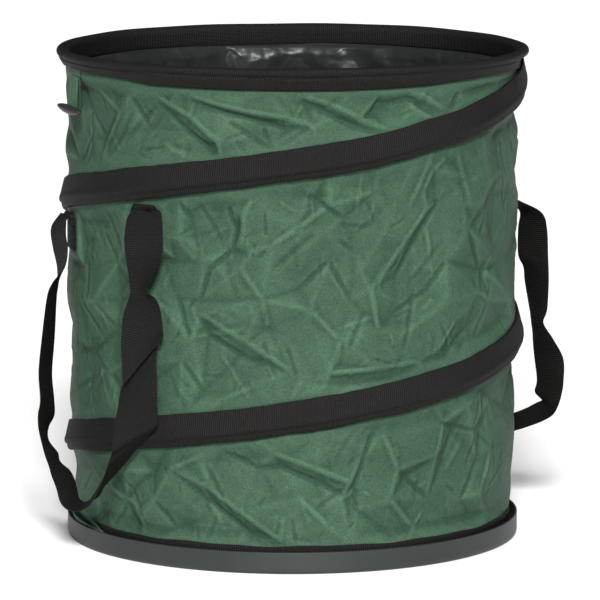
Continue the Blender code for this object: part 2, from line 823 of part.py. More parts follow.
def toggle_eye(azimuth):
    """The middle of the pin that the toggle turns on, where it leaves the tape."""
    drop = TOGGLE_DROP - TOGGLE_EYE_MARGIN
    lean = TOGGLE_TAPE_LEAN * drop / TOGGLE_DROP
    return toggle_root(azimuth) + outward(azimuth) * lean - Vector((0.0, 0.0, drop))


def make_toggle_tape(side, azimuth, material):
    """A folded tape from under the rim, with the pin and knob that hold the toggle."""
    out, side_way = outward(azimuth), sideways(azimuth)
    root = toggle_root(azimuth)
    foot = root + out * TOGGLE_TAPE_LEAN - Vector((0.0, 0.0, TOGGLE_DROP))
    down = (foot - root).normalized()
    thick = down.cross(side_way).normalized() * (TOGGLE_TAPE / 2)
    half = side_way * (TOGGLE_TAPE_WIDTH / 2)
    loops = [
        strap_section(root - down * TOGGLE_TAPE * STRAP_END_SHARE, half, thick * STRAP_TIP_SHARE),
        strap_section(root, half, thick),
        strap_section(foot, half, thick),
    ]
    tape = swept(f"toggle_{side}_tape", loops, material)
    eye = toggle_eye(azimuth)
    reach = TOGGLE_TAPE / 2 + 2 * GAP + TOGGLE_DEPTH + GAP
    level = Vector((0.0, 0.0, 1.0))
    pin_reach = (0.0, reach + TOGGLE_KNOB_DEPTH / 2)
    knob_reach = (reach, reach + TOGGLE_KNOB_DEPTH)
    pin_loops = disc_loops(eye, out, level, TOGGLE_PIN, pin_reach, PIN_SIDES)
    knob_loops = disc_loops(eye, out, level, TOGGLE_KNOB, knob_reach, PIN_SIDES)
    pin = swept("pin_stock", pin_loops, material)
    knob = swept("knob_stock", knob_loops, material)
    return joined(f"toggle_{side}_tape", [tape, pin, knob], material)


def make_toggle(side, azimuth, material):
    """A boat-shaped bar with a round eye through its middle."""
    out, side_way = outward(azimuth), sideways(azimuth)
    up = Vector((0.0, 0.0, 1.0))
    near = TOGGLE_TAPE / 2 + 2 * GAP
    eye = toggle_eye(azimuth)
    middle = eye + out * (near + TOGGLE_DEPTH / 2) - up * TOGGLE_EYE_LIFT
    half_table = [(-length, share) for length, share in reversed(TOGGLE_SHARES)]
    loops = []
    for length, share in half_table + list(TOGGLE_SHARES):
        place = middle + side_way * (TOGGLE_LENGTH / 2 * length)
        high = up * (TOGGLE_HEIGHT / 2 * share)
        deep = out * (TOGGLE_DEPTH / 2 * share)
        loops.append(
            [
                place + high * math.cos(angle) + deep * math.sin(angle)
                for angle in [math.tau * n / PIN_SIDES for n in range(PIN_SIDES)]
            ]
        )
    bar = swept(f"toggle_{side}", loops, material)
    reach = (-OVERRUN, near + TOGGLE_DEPTH + OVERRUN)
    drill = disc_loops(eye, out, up, TOGGLE_PIN + GAP, reach, PIN_SIDES)
    cut(bar, swept(f"eye_drill_{side}", drill, material))
    return bar


def loop_arc():
    return math.degrees(LOOP_LENGTH / FOOT_RING_RADIUS)


def loop_root(turn):
    return polar(LOOP_AZIMUTH + turn, FOOT_RING_RADIUS, LOOP_ROOT_HEIGHT)


def loop_axis(turn):
    """Outwards and a little down, so that a lifted loop leans clear of the wall."""
    level = outward(LOOP_AZIMUTH + turn - loop_arc() / 2)
    lean = math.radians(LOOP_LEAN)
    return level * math.cos(lean) - Vector((0.0, 0.0, math.sin(lean)))


def loop_layer(turn, side):
    """Rows of one layer of the loop's tape, root to tip: azimuth, radius, height, half width."""
    inner_most = FOOT_WEB_OUTER + 2 * GAP + LOOP_TAPE / 2
    rows = []
    for share, open_share, rise_share, width_share in LOOP_SHARES:
        azimuth = LOOP_AZIMUTH + turn - loop_arc() * share
        half_open = (LOOP_OPENING + LOOP_TAPE) / 2 * open_share
        middle = max(FOOT_RING_RADIUS, inner_most + half_open)
        height = LOOP_ROOT_HEIGHT + LOOP_RISE * rise_share
        rows.append((azimuth, middle + side * half_open, height, LOOP_WIDTH / 2 * width_share))
    return rows


def make_foot_loop(side, turn, material):
    """A loop of tape, lying along the foot, that lifts about a round tab at its root."""
    inner = loop_layer(turn, -1)
    outer = loop_layer(turn, 1)
    rows = inner + list(reversed(outer[1:-1]))
    centres = [polar(azimuth, radius, height) for azimuth, radius, height, _ in rows]
    loops = []
    for n, (azimuth, _, _, half) in enumerate(rows):
        ahead = centres[(n + 1) % len(rows)] - centres[n - 1]
        ahead.z = 0.0
        thick = ahead.normalized().cross(Vector((0.0, 0.0, 1.0))) * (LOOP_TAPE / 2)
        loops.append(strap_section(centres[n], Vector((0.0, 0.0, half)), thick))
    tape = swept(f"foot_loop_{side}", loops, material, closed=True)
    reach = (-LOOP_TAB_DEPTH / 2, LOOP_TAB_DEPTH / 2)
    up = Vector((0.0, 0.0, 1.0))
    tab_loops = disc_loops(
        loop_root(turn), loop_axis(turn), up, LOOP_TAB_RADIUS, reach, PIN_SIDES
    )
    tab = swept("tab_stock", tab_loops, material)
    return joined(f"foot_loop_{side}", [tape, tab], material)


def main():
    clear_scene()
    cloth = finish("green coated polyester", GREEN_CLOTH, CLOTH_ROUGHNESS)
    webbing = finish("black polypropylene webbing", BLACK_WEBBING, WEBBING_ROUGHNESS)
    film = finish("black film", BLACK_FILM, FILM_ROUGHNESS)
    tray_plastic = finish("grey green polypropylene", GREY_PLASTIC, PLASTIC_ROUGHNESS)
    black_plastic = finish("black nylon", BLACK_PLASTIC, PLASTIC_ROUGHNESS)
    steel = finish("spring steel", SPRING_STEEL, STEEL_ROUGHNESS, metallic=1.0)

    tray = make_tray(tray_plastic)
    board = make_board(film)
    make_rivets(black_plastic, (tray, board))
    make_shell("bag_wall", 0.0, WALL_THICKNESS, WALL_FOOT_HEIGHT, cloth)
    make_shell("bag_lining", LINING_INSET, LINING_THICKNESS, BOARD_TOP + GAP, film)
    make_foot_binding(webbing)
    foot_ring = (FOOT_RING_RADIUS, FOOT_RING_HEIGHT, joint_facet(FOOT_JOINT_AZIMUTH), steel)
    make_ring("foot_ring", *foot_ring)
    make_sleeve("foot_ring_sleeve", *foot_ring)
    make_spiral_wire(steel)
    make_casing(webbing)

    rim = joint_empty("collapse_axis", Vector((0.0, 0.0, RING_HEIGHT)))
    rim_ring = (RING_RADIUS, RING_HEIGHT, joint_facet(RIM_JOINT_AZIMUTH), steel)
    hang(make_rim_binding(webbing), rim)
    hang(make_ring("rim_ring", *rim_ring), rim)
    hang(make_sleeve("rim_ring_sleeve", *rim_ring), rim)

    for side, turn in HANDLE_TURNS.items():
        front, rear = handle_pivots(turn)
        folds = joint_empty(f"handle_{side}_slide", (front + rear) / 2)
        swing = joint_empty(f"handle_{side}_hinge", (front + rear) / 2, folds)
        make_handle(side, turn, webbing, folds, swing)

    for side, turn in TOGGLE_TURNS.items():
        azimuth = TOGGLE_AZIMUTH + turn
        tape_hinge = joint_empty(f"toggle_{side}_hinge", toggle_root(azimuth), rim)
        eye = joint_empty(f"toggle_{side}_eye", toggle_eye(azimuth), tape_hinge)
        hang(make_toggle_tape(side, azimuth, cloth), tape_hinge)
        hang(make_toggle(side, azimuth, black_plastic), eye)
        root = joint_empty(f"foot_loop_{side}_root", loop_root(turn))
        hang(make_foot_loop(side, turn, cloth), root)


main()
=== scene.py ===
"""Pop up leaf bag of coated cloth on a hard tray, with its spiral casing, handles and toggles.

Metres, +Z up, the bag's front towards -Y. Azimuths are in degrees from the front towards +X.
"""

import math

import bmesh
import bpy
import numpy as np
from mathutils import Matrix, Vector
from mathutils.geometry import delaunay_2d_cdt


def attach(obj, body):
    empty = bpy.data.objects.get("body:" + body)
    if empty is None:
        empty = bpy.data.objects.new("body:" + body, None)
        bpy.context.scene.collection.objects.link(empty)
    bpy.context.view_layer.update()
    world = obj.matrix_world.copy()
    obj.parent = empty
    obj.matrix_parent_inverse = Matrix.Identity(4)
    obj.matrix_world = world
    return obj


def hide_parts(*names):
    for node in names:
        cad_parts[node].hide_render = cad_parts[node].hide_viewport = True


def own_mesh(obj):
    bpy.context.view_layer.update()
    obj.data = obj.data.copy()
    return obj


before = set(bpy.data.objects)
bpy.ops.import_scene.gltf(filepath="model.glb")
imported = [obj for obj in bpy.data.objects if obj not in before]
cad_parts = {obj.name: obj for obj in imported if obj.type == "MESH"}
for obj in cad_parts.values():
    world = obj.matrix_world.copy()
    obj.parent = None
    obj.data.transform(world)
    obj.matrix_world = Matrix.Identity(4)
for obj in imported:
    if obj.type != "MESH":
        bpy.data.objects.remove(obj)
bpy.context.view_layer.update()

# The view: from 4.9 m away and a little above, with the bag slightly left of the middle.
# Pale floor, one broad soft key light from the front and above, a weak one overhead.
VIEW_PLACE = (0.0, -4.925, 0.9878)
VIEW_PITCH = 0.1512
VIEW_LENS = 293.3
VIEW_SHIFT = 0.01267
FLOOR_HALF = 30.0


def linear(code):
    """Linear red, green, blue and alpha of an sRGB hex colour."""
    values = [int(code[n : n + 2], 16) / 255 for n in (1, 3, 5)]
    return (*[v / 12.92 if v <= 0.04045 else ((v + 0.055) / 1.055) ** 2.4 for v in values], 1.0)


def new_material(name, **sockets):
    """A material whose shader has these constant numbers or colours on its own sockets."""
    material = bpy.data.materials.new(name)
    material.use_nodes = True
    shader = material.node_tree.nodes["Principled BSDF"]
    for socket, value in sockets.items():
        shader.inputs[socket.replace("_", " ")].default_value = value
    return material


def add_node(material, kind, sockets=(), **settings):
    """One node with its settings, and a value or a link for each of its sockets."""
    node = material.node_tree.nodes.new("ShaderNode" + kind)
    for setting, value in settings.items():
        setattr(node, setting, value)
    for socket, value in dict(sockets).items():
        if isinstance(value, bpy.types.NodeSocket):
            material.node_tree.links.new(value, node.inputs[socket])
        else:
            node.inputs[socket].default_value = value
    return node


def mottled(material, scale, detail, roughness=0.5):
    """Noise all over a piece, as the socket that gives its strength."""
    place = add_node(material, "TexCoord")
    sockets = {"Vector": place.outputs["Object"], "Scale": scale, "Detail": detail}
    sockets["Roughness"] = roughness
    return add_node(material, "TexNoise", sockets).outputs["Fac"]


def two_tones(material, led_by, dark, light, low=0.0, high=1.0):
    """A ramp from one sRGB hex colour to another, between two strengths of a socket."""
    ramp = add_node(material, "ValToRGB", {"Fac": led_by})
    for element, place, code in zip(ramp.color_ramp.elements, (low, high), (dark, light)):
        element.position = place
        element.color = linear(code)
    return ramp.outputs["Color"]


def feed_shader(material, **outputs):
    """Links outputs of nodes to the shader's sockets of these names."""
    shader = material.node_tree.nodes["Principled BSDF"]
    for socket, output in outputs.items():
        material.node_tree.links.new(output, shader.inputs[socket.replace("_", " ")])


view = bpy.data.objects.new("view", bpy.data.cameras.new("view"))
bpy.context.scene.collection.objects.link(view)
view.location = VIEW_PLACE
view.rotation_euler = (math.pi / 2 - VIEW_PITCH, 0.0, 0.0)
view.data.lens = VIEW_LENS
view.data.shift_x = VIEW_SHIFT
view.data.clip_end = 100.0
bpy.context.scene.camera = view
bpy.context.scene.view_settings.view_transform = "Standard"

painted_floor = new_material("matt white floor paint", Roughness=0.9)
speckle = add_node(painted_floor, "TexNoise", {"Scale": 3.0})
floor_tone = two_tones(painted_floor, speckle.outputs["Fac"], "#F8F8F7", "#FBFBFA")
feed_shader(painted_floor, Base_Color=floor_tone)
floor_mesh = bpy.data.meshes.new("floor")
floor_mesh.from_pydata(
    [(x * FLOOR_HALF, y * FLOOR_HALF, 0.0) for x, y in ((-1, -1), (1, -1), (1, 1), (-1, 1))],
    [],
    [(0, 1, 2, 3)],
)
floor_mesh.materials.append(painted_floor)
floor = bpy.data.objects.new("floor", floor_mesh)
bpy.context.scene.collection.objects.link(floor)

world = bpy.data.worlds.new("studio")
bpy.context.scene.world = world
world.use_nodes = True
world.node_tree.nodes["Background"].inputs["Color"].default_value = linear("#F4F6F8")
world.node_tree.nodes["Background"].inputs["Strength"].default_value = 0.10

for name, strength, spread, pitch, turn in (
    ("key", 5.6, 14.0, 58.0, 1.5),
    ("top", 0.7, 60.0, 20.0, 0.0),
):
    lamp = bpy.data.objects.new(name, bpy.data.lights.new(name, "SUN"))
    lamp.data.energy = strength
    lamp.data.angle = math.radians(spread)
    lamp.rotation_euler = (math.radians(pitch), 0.0, math.radians(turn))
    bpy.context.scene.collection.objects.link(lamp)

# Tray: one moulded piece of grey-green polypropylene, with a low upright edge. It looks
# satin, with a fine grain and a slanted weld line on its edge at the left.
TRAY_RADIUS = 0.230
TRAY_HEIGHT = 0.022
TRAY_WALL = 0.0022
TRAY_CORNER = 0.004
TRAY_LIP = 0.0006
TRAY_PANEL_UNDER = 0.0025
TRAY_PANEL_OVER = 0.0049
TRAY_PANEL_RADIUS = 0.2
TRAY_GUTTER = 0.0024
TRAY_COLUMNS = 288
WELD_AZIMUTH = -63.0
WELD_SLOPE = 330.0
WELD_MIDDLE = 0.0150
WELD_DEPTH = 0.00045
WELD_REACH = 9.0
WELD_HALF = 0.12


def polar(azimuth, radius, height):
    """Points of this azimuth, radius and height, each a number or an array."""
    angle = np.radians(azimuth)
    parts = (radius * np.sin(angle), -radius * np.cos(angle), height + 0.0 * angle)
    return np.stack(np.broadcast_arrays(*parts), -1)


def lengths_of(line):
    """How far along a line of points each of them is."""
    return np.append(0.0, np.cumsum(np.linalg.norm(np.diff(line, axis=0), axis=-1)))


def piece_of(name, corners, quads, caps, uvs, material, sharp):
    """An object from corner places and faces, with its faces turned outwards."""
    mesh = bpy.data.meshes.new(name)
    mesh.vertices.add(len(corners))
    mesh.vertices.foreach_set("co", np.asarray(corners, np.float32).ravel())
    sizes = np.array([4] * len(quads) + [len(cap) for cap in caps])
    starts = np.append(0, np.cumsum(sizes)[:-1])
    order = np.concatenate([np.ravel(quads), *caps])
    mesh.loops.add(len(order))
    mesh.loops.foreach_set("vertex_index", order.astype(np.int32))
    mesh.polygons.add(len(sizes))
    mesh.polygons.foreach_set("loop_start", starts.astype(np.int32))
    layer = mesh.uv_layers.new(name="cloth")
    flat = np.zeros((len(order), 2), np.float32)
    flat[: len(uvs)] = uvs
    layer.data.foreach_set("uv", flat.ravel())
    mesh.update(calc_edges=True)
    mesh.validate()
    spots = corners[quads]
    cross = np.cross(spots[:, 1] - spots[:, 0], spots[:, 2] - spots[:, 0])
    cross = cross + np.cross(spots[:, 2] - spots[:, 0], spots[:, 3] - spots[:, 0])
    if (spots.mean(1) * cross).sum() < 0.0:
        mesh.flip_normals()
    mesh.shade_smooth()
    if sharp:
        mesh.set_sharp_from_angle(angle=math.radians(sharp))
    mesh.materials.append(material)
    piece = bpy.data.objects.new(name, mesh)
    bpy.context.scene.collection.objects.link(piece)
    return piece


def lofted(name, points, material, round_rows=False, round_columns=False, caps=False, sharp=40.0):
    """A piece through a grid of points, with texture places in metres along and across."""
    rows, columns = points.shape[:2]
    i, j = np.meshgrid(
        np.arange(rows if round_rows else rows - 1),
        np.arange(columns if round_columns else columns - 1),
        indexing="ij",
    )
    k, m = (i + 1) % rows, (j + 1) % columns
    quads = np.stack([i * columns + j, k * columns + j, k * columns + m, i * columns + m], -1)
    wide = np.concatenate([points, points[:, :1]], 1)
    tall = np.concatenate([points, points[:1]], 0)
    along = lengths_of(tall[:, columns // 4])
    across = lengths_of(wide[rows // 4])
    uvs = np.stack(
        [
            np.stack([along[i], across[j]], -1),
            np.stack([along[i + 1], across[j]], -1),
            np.stack([along[i + 1], across[j + 1]], -1),
            np.stack([along[i], across[j + 1]], -1),
        ],
        2,
    )
    ends = []
    if caps:
        ends = [np.arange(columns), np.arange(columns)[::-1] + (rows - 1) * columns]
    return piece_of(
        name,
        points.reshape(-1, 3),
        quads.reshape(-1, 4),
        ends,
        uvs.reshape(-1, 2),
        material,
        sharp,
    )


def merge_poles(piece):
    """Closes a turned piece where its outline meets the axis."""
    mesh = bmesh.new()
    mesh.from_mesh(piece.data)
    bmesh.ops.remove_doubles(mesh, verts=mesh.verts, dist=0.000001)
    bmesh.ops.dissolve_degenerate(mesh, edges=mesh.edges, dist=0.000001)
    mesh.to_mesh(piece.data)
    mesh.free()
    return piece


moulded_polypropylene = new_material(
    "moulded grey-green polypropylene", Roughness=0.5, IOR=1.49, Specular_IOR_Level=0.42
)
cloudy = mottled(moulded_polypropylene, 9.0, 4.0)
tray_tone = two_tones(moulded_polypropylene, cloudy, "#1F2422", "#272C29", 0.3, 0.7)
# Spark-eroded mould grain, really 0.3 mm across, drawn at 0.8 mm so that it shows
grain = mottled(moulded_polypropylene, 1250.0, 2.0)
grain_bump = add_node(
    moulded_polypropylene, "Bump", {"Height": grain, "Strength": 0.12, "Distance": 0.0003}
)
feed_shader(moulded_polypropylene, Base_Color=tray_tone, Normal=grain_bump.outputs["Normal"])

# The tray's outline, from the middle of its underside round its edge to the middle on top
tray_outline = [(radius, TRAY_PANEL_UNDER) for radius in (0.0, 0.12, TRAY_PANEL_RADIUS)]
tray_outline += [(0.2012, 0.0008), (0.2025, 0.0), (0.2140, 0.0), (0.2254, 0.0)]
for angle in np.radians(range(10, 91, 16)):
    radius = TRAY_RADIUS - TRAY_CORNER + TRAY_CORNER * math.sin(angle)
    tray_outline.append((radius, TRAY_CORNER - TRAY_CORNER * math.cos(angle)))
tray_outline += [(TRAY_RADIUS, z) for z in (0.006, 0.009, 0.012, 0.015, 0.018, 0.0206, 0.0212)]
for angle in np.radians(range(20, 180, 28)):
    radius = TRAY_RADIUS - TRAY_WALL / 2 + TRAY_WALL / 2 * math.cos(angle)
    tray_outline.append((radius, TRAY_HEIGHT - TRAY_LIP + TRAY_LIP * math.sin(angle)))
tray_outline += [(TRAY_RADIUS - TRAY_WALL, 0.0212), (TRAY_RADIUS - TRAY_WALL, 0.0044)]
tray_outline += [(0.2271, 0.0029), (0.2260, TRAY_GUTTER), (0.2047, TRAY_GUTTER)]
tray_outline += [(0.2003, TRAY_PANEL_OVER), (0.0, TRAY_PANEL_OVER)]
steps = np.arange(TRAY_COLUMNS) * 360.0 / TRAY_COLUMNS - 180.0
# The weld line is narrow, so it gets columns of its own
weld_steps = WELD_AZIMUTH + np.array([-0.36, -0.2, -0.1, 0.02, 0.1, 0.2, 0.36])
steps = np.sort(np.append(steps, weld_steps))
rings = []
for radius, height in tray_outline:
    near = np.exp(-(((steps - WELD_AZIMUTH) / WELD_REACH) ** 2))
    turned_by = np.clip((height - WELD_MIDDLE) * WELD_SLOPE, -4.0, 4.0) * near
    outer_face = radius > TRAY_RADIUS - 0.0003 and height < TRAY_HEIGHT - 0.0003
    dip = WELD_DEPTH * np.exp(-(((steps - WELD_AZIMUTH) / WELD_HALF) ** 2)) * outer_face
    rings.append(polar(steps + turned_by, radius - dip, height))
tray = merge_poles(
    lofted("tray_moulding", np.array(rings), moulded_polypropylene, round_columns=True)
)
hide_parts("base_tray")
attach(tray, "base")

# Bottom board and snap rivets: a stiff black sheet inside, held to the tray by four
# pressed nylon rivets. They keep the CAD's shapes.
board_plastic = new_material("extruded black polypropylene board", Roughness=0.55, IOR=1.49)
scuffs = mottled(board_plastic, 26.0, 6.0, 0.62)
board_tone = two_tones(board_plastic, scuffs, "#232323", "#333332")
# The board's flutes are 4 mm apart
place = add_node(board_plastic, "TexCoord")
flutes = add_node(
    board_plastic,
    "TexWave",
    {"Vector": place.outputs["Object"], "Scale": 78.5, "Distortion": 0.0},
    wave_type="BANDS",
    bands_direction="X",
)
flute_bump = add_node(
    board_plastic, "Bump", {"Height": flutes.outputs["Fac"], "Strength": 0.25, "Distance": 0.0004}
)
feed_shader(board_plastic, Base_Color=board_tone, Normal=flute_bump.outputs["Normal"])


def dress(name, material):
    """Gives a CAD piece that keeps its shape its material."""
    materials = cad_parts[name].data.materials
    materials.clear()
    materials.append(material)


dress("bottom_board", board_plastic)

moulded_nylon = new_material("moulded black nylon", Roughness=0.4, IOR=1.53, Specular_IOR_Level=0.35)
rubbed = mottled(moulded_nylon, 160.0, 5.0)
nylon_tone = two_tones(moulded_nylon, rubbed, "#1B1A1A", "#2C2A29")
nylon_bump = add_node(moulded_nylon, "Bump", {"Height": rubbed, "Strength": 0.1, "Distance": 0.0003})
feed_shader(moulded_nylon, Base_Color=nylon_tone, Normal=nylon_bump.outputs["Normal"])
for number in (1, 2, 3, 4):
    dress(f"snap_rivet_{number}", moulded_nylon)

# Wire rings at the foot and in the rim, with crimped sleeves: 3.5 mm hard-drawn spring
# steel, with fine marks of the drawing die. They keep the CAD's shapes.
drawn_steel = new_material("hard-drawn spring steel", Roughness=0.34, Metallic=1.0)
draw_marks = mottled(drawn_steel, 240.0, 3.0)
steel_tone = two_tones(drawn_steel, draw_marks, "#8F9092", "#B9BABD")
steel_bump = add_node(drawn_steel, "Bump", {"Height": draw_marks, "Strength": 0.1, "Distance": 0.0002})
feed_shader(drawn_steel, Base_Color=steel_tone, Normal=steel_bump.outputs["Normal"])
for name in ("foot_ring", "foot_ring_sleeve", "rim_ring", "rim_ring_sleeve"):
    dress(name, drawn_steel)

# Cloth wall: green polyester, woven and then coated, cut as one panel and sewn into a
# tube. It was folded flat and has sprung open, so it is all flat facets and sharp creases.
WALL_FOOT = 0.0027
WALL_TOP = 0.4890
WALL_COLUMNS = 920
WALL_ROWS = 312
WALL_MEAN_RADIUS = 0.228
WALL_ROUND = 2 * math.pi * WALL_MEAN_RADIUS
# The wall's radius at some heights: it widens a little from the foot to the rim
WALL_PROFILE = (
    (WALL_FOOT, 0.2208),
    (0.0319, 0.2208),
    (0.0708, 0.2236),
    (0.1291, 0.2264),
    (0.2945, 0.2282),
    (0.4404, 0.2293),
    (WALL_TOP, 0.2293),
)
# The cloth's back has every second row above this one, and far fewer rows below it
WALL_NEAR_RIM = 291
WALL_FINE_STEP = 2
WALL_BACK_ROWS = 48
# The cloth's thickness, how far it sags inside its smooth shape, and its furthest folds
CLOTH_THICK = 0.0006
CLOTH_SAG = 0.0034
CLOTH_FURTHEST_OUT = 0.0022
CLOTH_FURTHEST_IN = 0.0140
# How far apart the corners of facets are, and how far in or out they may lie
BROAD_FACETS = (0.046, 0.0068)
SMALL_FACETS = (0.026, 0.0020)
# The long creases: how clear of random corners they are, how high and wide their ridges
CREASE_CLEAR = 0.022
CREASE_RISE = 0.0011
CREASE_WIDE = 0.0042
# How many random creases, then the ranges of their lengths, rises and widths
LONG_SCORES = (200, (0.030, 0.070), (0.0006, 0.0012), (0.003, 0.006))
SHORT_SCORES = (650, (0.010, 0.030), (0.0003, 0.0007), (0.0022, 0.004))
# The cloth is sewn down at its foot, at the rim, along the casing and at the handles' ends
FOOT_SEAM = 0.020
RIM_SEAM = (0.4765, 0.462)
CREASE_REACH = 0.020
HANDLE_HALF = 0.019
HANDLE_SPOTS = ((-39.0, 0.3385), (-76.0, 0.3147), (141.0, 0.3385), (104.0, 0.3147))
# Beside the left toggle the cloth hangs straighter
CALM_AZIMUTH = -90.0
CALM_SPREAD = 11.0
CALM_HEIGHTS = (0.355, 0.385)
CALM_SHARE = 0.65
CALM_OUT = 0.0008
# How sharp a ridge must be for its painted light to be full, and how far apart threads are drawn
PAINTED_LIGHT_DEPTH = 0.0011
THREADS_APART = 0.0017
# The spring's wire: its ends' heights, and its azimuths, counted down from its top end
SPRING_TOP = 0.48465
SPRING_FOOT = 0.0089
SPRING_FIRST = 112.5
SPRING_LAST = -562.5
SPRING_LIFT = 0.0125
SPRING_LIFT_FROM = 20.0
SPRING_SWAY = 0.005
# Its casing: where it ends, and how far its edges lie above and below the wire
CASING_LAST = -532.5
CASING_ABOVE = 0.021
CASING_BELOW = 0.011


def wall_radius(height):
    """The radius of the wall's smooth shape at this height."""
    heights, radii = zip(*WALL_PROFILE)
    return np.interp(height, heights, radii)


def spring_height(turn):
    """The wire's height at each turn, in degrees counted down from its top end."""
    turn = np.asarray(turn, float)
    sway = SPRING_SWAY * np.sin(np.radians(turn))
    first_sway = SPRING_SWAY * math.sin(math.radians(SPRING_FIRST))
    last_sway = SPRING_SWAY * math.sin(math.radians(SPRING_LAST))
    run = (SPRING_FIRST - turn) / (SPRING_FIRST - SPRING_LAST)
    risen = np.clip((turn - SPRING_LIFT_FROM) / (SPRING_FIRST - SPRING_LIFT_FROM), 0.0, 1.0)
    lift = SPRING_LIFT * (1 - risen)
    fall = SPRING_TOP - SPRING_FOOT - SPRING_LIFT - (last_sway - first_sway)
    return SPRING_TOP - fall * run - (sway - first_sway) - lift


def smooth_step(low, high, value):
    """Eases from 0 at the low value to 1 at the high one, which may also be the smaller."""
    share = np.clip((value - low) / (high - low), 0.0, 1.0)
    return share * share * (3 - 2 * share)


def fold_line(line):
    """A fold line's points on the flat panel, and how far out it is at each, in metres."""
    line = np.array(line)
    around = (line[:, 0] + 180.0) / 360.0 * WALL_ROUND
    return np.stack([around, line[:, 1] / 1000], -1), line[:, 2] / 1000


def facets(places, rises, edges, around, up):
    """Flat facets between these places: how far out each point of the grid then is.

    The edges are pairs of places that a fold line joins. Where two of them cross, the
    height is the mean of both.
    """
    result = np.zeros((len(up), len(around)))
    corners, _, faces, origin, _, _ = delaunay_2d_cdt(
        [Vector(place) for place in places], edges, [], 0, 0.0000001
    )
    corners = np.array([tuple(corner) for corner in corners])
    starts = places[[edge[0] for edge in edges]] if edges else None
    heights = []
    for corner, sources in zip(corners, origin):
        if sources:
            heights.append(rises[sources[0]])
            continue
        runs = places[[edge[1] for edge in edges]] - starts
        along = np.clip(((corner - starts) * runs).sum(1) / (runs**2).sum(1), 0.0, 1.0)
        off = np.linalg.norm(starts + runs * along[:, None] - corner, axis=1)
        crossing = [
            rises[edges[n][0]] * (1 - along[n]) + rises[edges[n][1]] * along[n]
            for n in np.argsort(off)[:2]
        ]
        heights.append(sum(crossing) / 2)
    for face in faces:
        (ax, ay), (bx, by), (cx, cy) = corners[list(face)]
        left, right = np.searchsorted(around, (min(ax, bx, cx), max(ax, bx, cx)))
        low, high = np.searchsorted(up, (min(ay, by, cy), max(ay, by, cy)))
        if left == right or low == high:
            continue
        x, y = around[None, left:right], up[low:high, None]
        area = (by - cy) * (ax - cx) + (cx - bx) * (ay - cy)
        first = ((by - cy) * (x - cx) + (cx - bx) * (y - cy)) / area
        second = ((cy - ay) * (x - cx) + (ax - cx) * (y - cy)) / area
        third = 1 - first - second
        inside = (first >= 0) & (second >= 0) & (third >= 0)
        block = result[low:high, left:right]
        value = first * heights[face[0]] + second * heights[face[1]] + third * heights[face[2]]
        block[inside] = value[inside]
    return result


def crumpled(random, spacing, depth, around, up, creases=(), clear=0.0):
    """Facets of about this spacing, all round, with these fold lines among them."""
    row_share = 0.87
    astray = 0.45
    length = around[-1] + around[1] - around[0]
    columns = round(length / spacing)
    step = length / columns
    rows = int((up[-1] - up[0]) / (row_share * spacing)) + 4
    n, m = np.meshgrid(np.arange(rows), np.arange(columns), indexing="ij")
    u = (m + 0.5 * (n % 2) + random.uniform(-astray, astray, n.shape)) * step % length
    v = up[0] + (n - 1.5 + random.uniform(-astray, astray, n.shape)) * row_share * spacing
    places = np.stack([u.ravel(), v.ravel()], -1)
    rises = random.uniform(-depth, depth, u.size)
    edges = []
    lines = [fold_line(line) for line in creases]
    for points, _ in lines:
        for start, end in zip(points[:-1], points[1:]):
            run = end - start
            along = np.clip(((places - start) @ run) / (run @ run), 0.0, 1.0)
            far = np.linalg.norm(start + along[:, None] * run - places, axis=1) > clear
            places, rises = places[far], rises[far]
    for points, line_rises in lines:
        first = len(places)
        places = np.concatenate([places, points])
        rises = np.concatenate([rises, line_rises])
        edges += [(first + k, first + k + 1) for k in range(len(points) - 1)]
    count = len(places)
    places = np.concatenate([places + (shift, 0.0) for shift in (0.0, -length, length)])
    return facets(
        places,
        np.tile(rises, 3),
        [(a + lap * count, b + lap * count) for lap in range(3) for a, b in edges],
        around,
        up,
    )


def scored(field, around, up, start, end, rise, wide):
    """One narrow straight crease from start to end, sharp at its middle line."""
    run = end - start
    length = float(np.linalg.norm(run))
    ahead = run / length
    step_u, step_v = around[1] - around[0], up[1] - up[0]
    low_u, high_u = min(start[0], end[0]) - wide, max(start[0], end[0]) + wide
    low_v, high_v = min(start[1], end[1]) - wide, max(start[1], end[1]) + wide
    columns = np.arange(int(low_u // step_u), int(high_u // step_u) + 2)
    first = max(0, int((low_v - up[0]) // step_v))
    rows = np.arange(first, min(len(up), int((high_v - up[0]) // step_v) + 2))
    if len(rows) == 0:
        return
    u = (columns * step_u - start[0])[None, :]
    v = (up[rows] - start[1])[:, None]
    along = (u * ahead[0] + v * ahead[1]) / length
    off = np.abs(v * ahead[0] - u * ahead[1])
    fade = smooth_step(-0.05, 0.25, along) * smooth_step(1.05, 0.75, along)
    field[np.ix_(rows, columns % len(around))] += rise * fade * np.clip(1 - off / wide, 0.0, 1.0)


def scored_all(random, count, lengths, rises, wides, around, up):
    """Narrow creases of these sizes all round, mostly slanting one way or the other."""
    field = np.zeros((len(up), len(around)))
    length = around[-1] + around[1] - around[0]
    for _ in range(count):
        middle = np.array((random.uniform(0, length), random.uniform(up[0], up[-1])))
        angle = math.radians(random.choice((-40.0, 42.0, 95.0)) + random.normal(0.0, 20.0))
        half = random.uniform(*lengths) / 2 * np.array((math.cos(angle), math.sin(angle)))
        rise = random.uniform(*rises) * random.choice((-1, 1))
        scored(field, around, up, middle - half, middle + half, rise, random.uniform(*wides))
    return field


def softened(field, passes):
    """Neighbours' mean, this many times: the cloth's own stiffness rounds its creases."""
    for _ in range(passes):
        field = (np.roll(field, 1, 1) + 2 * field + np.roll(field, -1, 1)) / 4
        padded = np.pad(field, ((1, 1), (0, 0)), mode="edge")
        field = (padded[:-2] + 2 * padded[1:-1] + padded[2:]) / 4
    return field


